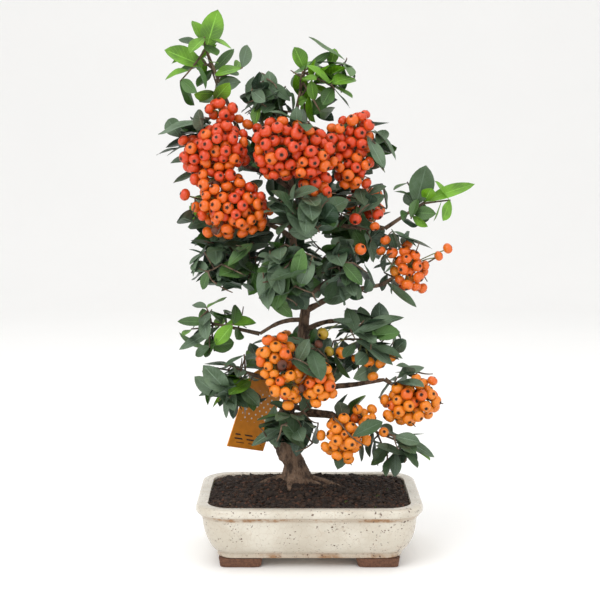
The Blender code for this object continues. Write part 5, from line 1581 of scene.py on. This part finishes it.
def glaze_group(name):
    """Cream glaze: cloudy tone, brown specks of two sizes, open pits, a net of fine cracks stained brown, and
    brown painted shade, blotched by noise, under the lip, low on the wall towards the feet and at the right
    end."""
    inputs = {
        "Tone": (0.66, 0.62, 0.53, 1.0), "Cloud Tone": (0.55, 0.50, 0.41, 1.0),
        "Speck Tone": (0.10, 0.05, 0.03, 1.0), "Crack Stain And Shade Tone": (0.34, 0.19, 0.09, 1.0),
        "Specks": 1.0, "Painted Shade": 1.0,
    }
    (tone, cloud_tone, speck_tone, crack_stain_and_shade_tone, speck_share, painted_shade_share), place = begin_group(name, inputs)
    cloud = place.noise(38.0, 5.0)
    colour = cloud.above(0.36, 0.66).between(cloud_tone, tone)
    stir = place.node("ShaderNodeTexNoise", {"Vector": place, "Scale": 300.0}, "Color")
    stir = stir.node("ShaderNodeVectorMath", {0: stir, 3: 0.004}, operation="SCALE")
    warped = place.vector("ADD", stir)
    small = warped.cells(520.0).below(0.12, 0.27) * place.noise(150.0, 2.0).above(0.42, 0.56)
    large = warped.cells(190.0).below(0.08, 0.18) * place.noise(60.0, 2.0).above(0.5, 0.6)
    specks = small.most(large) * speck_share
    net = warped.cells(210.0, "DISTANCE_TO_EDGE").below(0.0, 0.035)
    colour = (net * 0.22).between(colour, crack_stain_and_shade_tone)
    high = place.axis(2)
    # painted shade: brown bands where the wall faces down, under the lip and low on the wall where it curves
    # in towards the feet, blotched by noise
    shade_under_lip = high.above(0.0325, 0.0342) * high.below(0.0352, 0.0372)
    patch = place.noise(75.0, 6.0, 0.65).above(0.42, 0.66)
    painted_shade = (high.below(0.0065, 0.014) * 0.9).most(shade_under_lip) * (patch + 0.25)
    # painted shade on the lower right end of the pot, the side turned away from the key light
    right = place.axis(0).above(0.015, 0.075) * high.below(0.01, 0.038)
    painted_shade = (painted_shade.most(right * patch * 0.55) * painted_shade_share).least(1.0)
    colour = specks.between(painted_shade.between(colour, crack_stain_and_shade_tone), speck_tone)
    return end_group(colour, specks.most(painted_shade) * 0.45 + 0.2, cloud * 0.0006 - specks * 0.0003 - net * 0.00003)


def glaze_material(tone):
    """The pot's glaze in its tone, under a thin clear coat."""
    coat = {"Coat Weight": 0.3, "Coat Roughness": 0.12}
    return finished("glaze_cream", "glaze", glaze_group, {"Tone": (*tone, 1.0)}, coat)


def label_group(name):
    """An orange print with rows of white dots in its upper part and short dark strokes in its lower part."""
    inputs = {
        "Tone": (0.80, 0.28, 0.015, 1.0), "Dot Tone": (0.85, 0.82, 0.74, 1.0),
        "Stroke Tone": (0.03, 0.02, 0.015, 1.0),
    }
    (tone, dot_tone, stroke_tone), place = begin_group(name, inputs)
    off = place.vector("SUBTRACT", tuple((np.array(LABEL_CORNER) + SHIFT) * MM))
    u, v = (
        off.vector("DOT_PRODUCT", tuple(unit(way) / (size * MM)), "Value")
        for way, size in zip((LABEL_ACROSS, LABEL_UP), LABEL_SIZE)
    )
    dots = ((u * 34.0 + v * 9.0).sine() * (v * 60.0).sine()).above(0.72, 0.8)
    dots = dots * (v.above(0.34, 0.36) * v.below(0.74, 0.76))
    strokes = (v * 120.0).sine().above(0.35, 0.5) * (u * 19.0 + v * 30.0).sine().above(-0.5, -0.4)
    strokes = strokes * v.below(0.19, 0.2) * v.above(0.06, 0.07)
    inside = u.above(0.1, 0.12) * u.below(0.88, 0.9)
    grain = place.noise(260.0)
    colour = grain.above(0.3, 0.7).between(tone.tinted((0.86, 0.82, 0.8, 1.0)), tone)
    colour = (dots * inside).between(colour, dot_tone)
    colour = (strokes * inside).between(colour, stroke_tone)
    return end_group(colour, grain * 0.2 + 0.38, grain * 0.0001)


def dress(node, material):
    """Gives a solid that stays showing its own material."""
    item = bpy.data.objects[node]
    for place in item.material_slots:
        place.material = material
    if not item.material_slots:
        item.data.materials.append(material)


def build_floor():
    """A sheet that turns up behind along a quarter circle, lit evenly by a little light of its own."""
    turn = np.linspace(0, math.pi / 2, 24)
    curve = np.stack([FLOOR_BEND + FLOOR_CURVE * np.sin(turn), FLOOR_CURVE - FLOOR_CURVE * np.cos(turn)], -1)
    path = np.concatenate([[(FLOOR_FRONT, 0.0)], curve, [(FLOOR_BEND + FLOOR_CURVE, FLOOR_TOP)]])
    grid = np.array([[(x, y, z) for x in (-FLOOR_HALF, 0.0, FLOOR_HALF)] for y, z in path])
    glow = {"Emission Color": DAYLIGHT, "Emission Strength": FLOOR_GLOW}
    material = plain_material("floor_pale", (0.93, 0.928, 0.922), 0.8, 2.0, 0.985, glow)
    floor = put("floor", grid.reshape(-1, 3), [grid_faces(len(path), 3, closed=False)], material)


def build_stage(scene, lens, pitch):
    """The floor, an even pale sky, soft lights aimed at the plant, and the camera."""
    build_floor()
    scene.world = bpy.data.worlds.new("studio")
    scene.world.use_nodes = True
    background = scene.world.node_tree.nodes["Background"]
    background.inputs["Color"].default_value = DAYLIGHT
    background.inputs["Strength"].default_value = SKY_STRENGTH
    for name, place, size, power in LIGHTS:
        light = bpy.data.lights.new(name, "AREA")
        light.shape = "DISK"
        light.size = size
        light.energy = power
        item = bpy.data.objects.new(name, light)
        scene.collection.objects.link(item)
        item.location = Vector((SHIFT + place) * MM)
        aim = Vector((SHIFT + AIMED_AT) * MM) - item.location
        item.rotation_euler = aim.to_track_quat("-Z", "Y").to_euler()
    view = bpy.data.cameras.new("camera")
    view.lens = lens
    view.sensor_width = 36.0
    view.clip_start = 0.01
    camera = bpy.data.objects.new("camera", view)
    scene.collection.objects.link(camera)
    camera.location = Vector((SHIFT + CAMERA_PLACE) * MM)
    camera.rotation_euler = (math.pi / 2 - pitch, 0.0, 0.0)
    scene.camera = camera
    scene.view_settings.view_transform = "Standard"


def colour_setting(name, description, default):
    """A colour that can be changed."""
    return bpy.props.FloatVectorProperty(
        name=name, description=description, default=default, subtype="COLOR", size=3, min=0.0, max=1.0
    )


class CrownSettings(bpy.types.PropertyGroup):
    """How dense the fine growth is and how long its leaves are"""

    density: bpy.props.FloatProperty(
        name="Sprays", description="Twigs with leaves to a thousand cubic millimetres", default=0.5, min=0.02
    )
    leaf_share: bpy.props.FloatProperty(
        name="Leaf size", description="Leaf length as a share of the coarse leaves'", default=1.62, min=0.3
    )


class LimbSettings(bpy.types.PropertyGroup):
    """Bark's depth and colours"""

    depth: bpy.props.FloatProperty(
        name="Bark depth", description="How far bark stands out, in millimetres", default=1.0, min=0.0
    )
    plates: colour_setting("Bark", "Colour of the bark's plates", (0.20, 0.125, 0.08))
    cracks: colour_setting("Cracks", "Colour of the bark's cracks", (0.045, 0.026, 0.016))


class PotSettings(bpy.types.PropertyGroup):
    """The wall's unevenness and the colours of glaze and clay"""

    waviness: bpy.props.FloatProperty(
        name="Waviness", description="Unevenness of the wall, in millimetres", default=0.55, min=0.0
    )
    glaze: colour_setting("Glaze", "Colour of the glaze between its clouds", (0.66, 0.62, 0.53))
    clay: colour_setting("Clay", "Colour of the bare clay of the feet", (0.17, 0.075, 0.042))


class SoilSettings(bpy.types.PropertyGroup):
    """How many lumps lie on the soil"""

    lumps: bpy.props.IntProperty(
        name="Lumps", description="Number of loose lumps on the soil", default=9000, min=100
    )


class StageSettings(bpy.types.PropertyGroup):
    """The camera's lens and tilt"""

    lens: bpy.props.FloatProperty(
        name="Lens", description="Focal length of the camera in millimetres", default=78.6, min=10.0
    )
    pitch: bpy.props.FloatProperty(
        name="Pitch", description="How far the camera looks down", default=math.radians(6), subtype="ANGLE"
    )


class FIRETHORN_OT_limbs(bpy.types.Operator):
    """Trunk, roots and boughs with their bark"""

    bl_idname = "firethorn.limbs"
    bl_label = "Limbs"

    def execute(self, context):
        settings = context.scene.firethorn_limbs
        limbs = build_limbs(settings.depth, settings.plates, settings.cracks)
        keep(limbs, ["trunk", *BOUGHS])
        return {"FINISHED"}


class FIRETHORN_OT_twigs(bpy.types.Operator):
    """Twigs, and the thin stalks that carry the fruit"""

    bl_idname = "firethorn.twigs"
    bl_label = "Twigs"

    def execute(self, context):
        found = grown(context)
        bark = bark_material("twig_bark", (0.17, 0.11, 0.07), (0.06, 0.04, 0.025))
        keep(put("twigs", *tubes(*twig_lines(found), 7), bark))
        stalks = tubes(found.stalks, np.full(found.stalks.shape[:2], 0.38), 6)
        keep(put("stalks", *stalks, plain_material("stalk", (0.22, 0.24, 0.07), 0.6)))
        return {"FINISHED"}


class FIRETHORN_OT_leaves(bpy.types.Operator):
    """Leaves in their tones, in place of the coarse masses"""

    bl_idname = "firethorn.leaves"
    bl_label = "Leaves"

    def execute(self, context):
        for number, item in enumerate(leaf_pieces(grown(context))):
            keep(item, list(MASSES) if number == 0 else ())
        return {"FINISHED"}


class FIRETHORN_OT_fruit(bpy.types.Operator):
    """Fruit in its tones, and the dried sepals in it"""

    bl_idname = "firethorn.fruit"
    bl_label = "Fruit"

    def execute(self, context):
        found = grown(context)
        for item in [*fruit_pieces(found), sepal_piece(found)]:
            keep(item)
        return {"FINISHED"}


class FIRETHORN_OT_pot(bpy.types.Operator):
    """The glazed pot and its bare clay feet"""

    bl_idname = "firethorn.pot"
    bl_label = "Pot"

    def execute(self, context):
        settings = context.scene.firethorn_pot
        keep(build_pot(settings.waviness, settings.glaze), ["pot"])
        feet = ["foot_front_left", "foot_front_right", "foot_back_left", "foot_back_right"]
        keep(build_feet(settings.clay), feet)
        return {"FINISHED"}


class FIRETHORN_OT_soil(bpy.types.Operator):
    """Lumps of soil and moss over the soil's own mound"""

    bl_idname = "firethorn.soil"
    bl_label = "Soil"

    def execute(self, context):
        for item in build_soil(context.scene.firethorn_soil.lumps):
            keep(item)
        dress("soil", plain_material("soil_bed", (0.028, 0.016, 0.010), 0.92))
        return {"FINISHED"}


class FIRETHORN_OT_label(bpy.types.Operator):
    """The label's print and the wire's metal"""

    bl_idname = "firethorn.label"
    bl_label = "Label"

    def execute(self, context):
        dress("label", finished("label_card", "label_print", label_group, {}))
        dress("label_wire", plain_material("wire_dull", (0.20, 0.17, 0.12), 0.45))
        return {"FINISHED"}


class FIRETHORN_OT_stage(bpy.types.Operator):
    """A pale floor that rises behind, soft studio light and the camera"""

    bl_idname = "firethorn.stage"
    bl_label = "Stage"

    def execute(self, context):
        settings = context.scene.firethorn_stage
        build_stage(context.scene, settings.lens, settings.pitch)
        return {"FINISHED"}


class FIRETHORN_PT_panel(bpy.types.Panel):
    """Lists the pieces"""

    bl_idname = "FIRETHORN_PT_panel"
    bl_label = "Firethorn bonsai"
    bl_space_type = "VIEW_3D"
    bl_region_type = "UI"
    bl_category = "Firethorn"

    def draw(self, context):
        for operator in OPERATORS:
            self.layout.operator(operator.bl_idname)
        for name, group in SETTINGS.items():
            box = self.layout.box()
            for field in group.__annotations__:
                box.prop(getattr(context.scene, name), field)


SETTINGS = {
    "firethorn_crown": CrownSettings,
    "firethorn_limbs": LimbSettings,
    "firethorn_pot": PotSettings,
    "firethorn_soil": SoilSettings,
    "firethorn_stage": StageSettings,
}
OPERATORS = (
    FIRETHORN_OT_limbs, FIRETHORN_OT_twigs, FIRETHORN_OT_leaves, FIRETHORN_OT_fruit, FIRETHORN_OT_pot,
    FIRETHORN_OT_soil, FIRETHORN_OT_label, FIRETHORN_OT_stage,
)
CLASSES = (*SETTINGS.values(), *OPERATORS, FIRETHORN_PT_panel)


def register():
    """Adds the settings, the operators and the panel to Blender."""
    for made in CLASSES:
        bpy.utils.register_class(made)
    for name, group in SETTINGS.items():
        setattr(bpy.types.Scene, name, bpy.props.PointerProperty(type=group))


def unregister():
    """Takes them out again."""
    for name in SETTINGS:
        delattr(bpy.types.Scene, name)
    for made in reversed(CLASSES):
        bpy.utils.unregister_class(made)


def main():
    """Builds all the pieces."""
    register()
    bpy.ops.firethorn.stage()
    bpy.ops.firethorn.pot()
    bpy.ops.firethorn.soil()
    bpy.ops.firethorn.limbs()
    bpy.ops.firethorn.twigs()
    bpy.ops.firethorn.leaves()
    bpy.ops.firethorn.fruit()
    bpy.ops.firethorn.label()


if __name__ == "__main__":
    main()
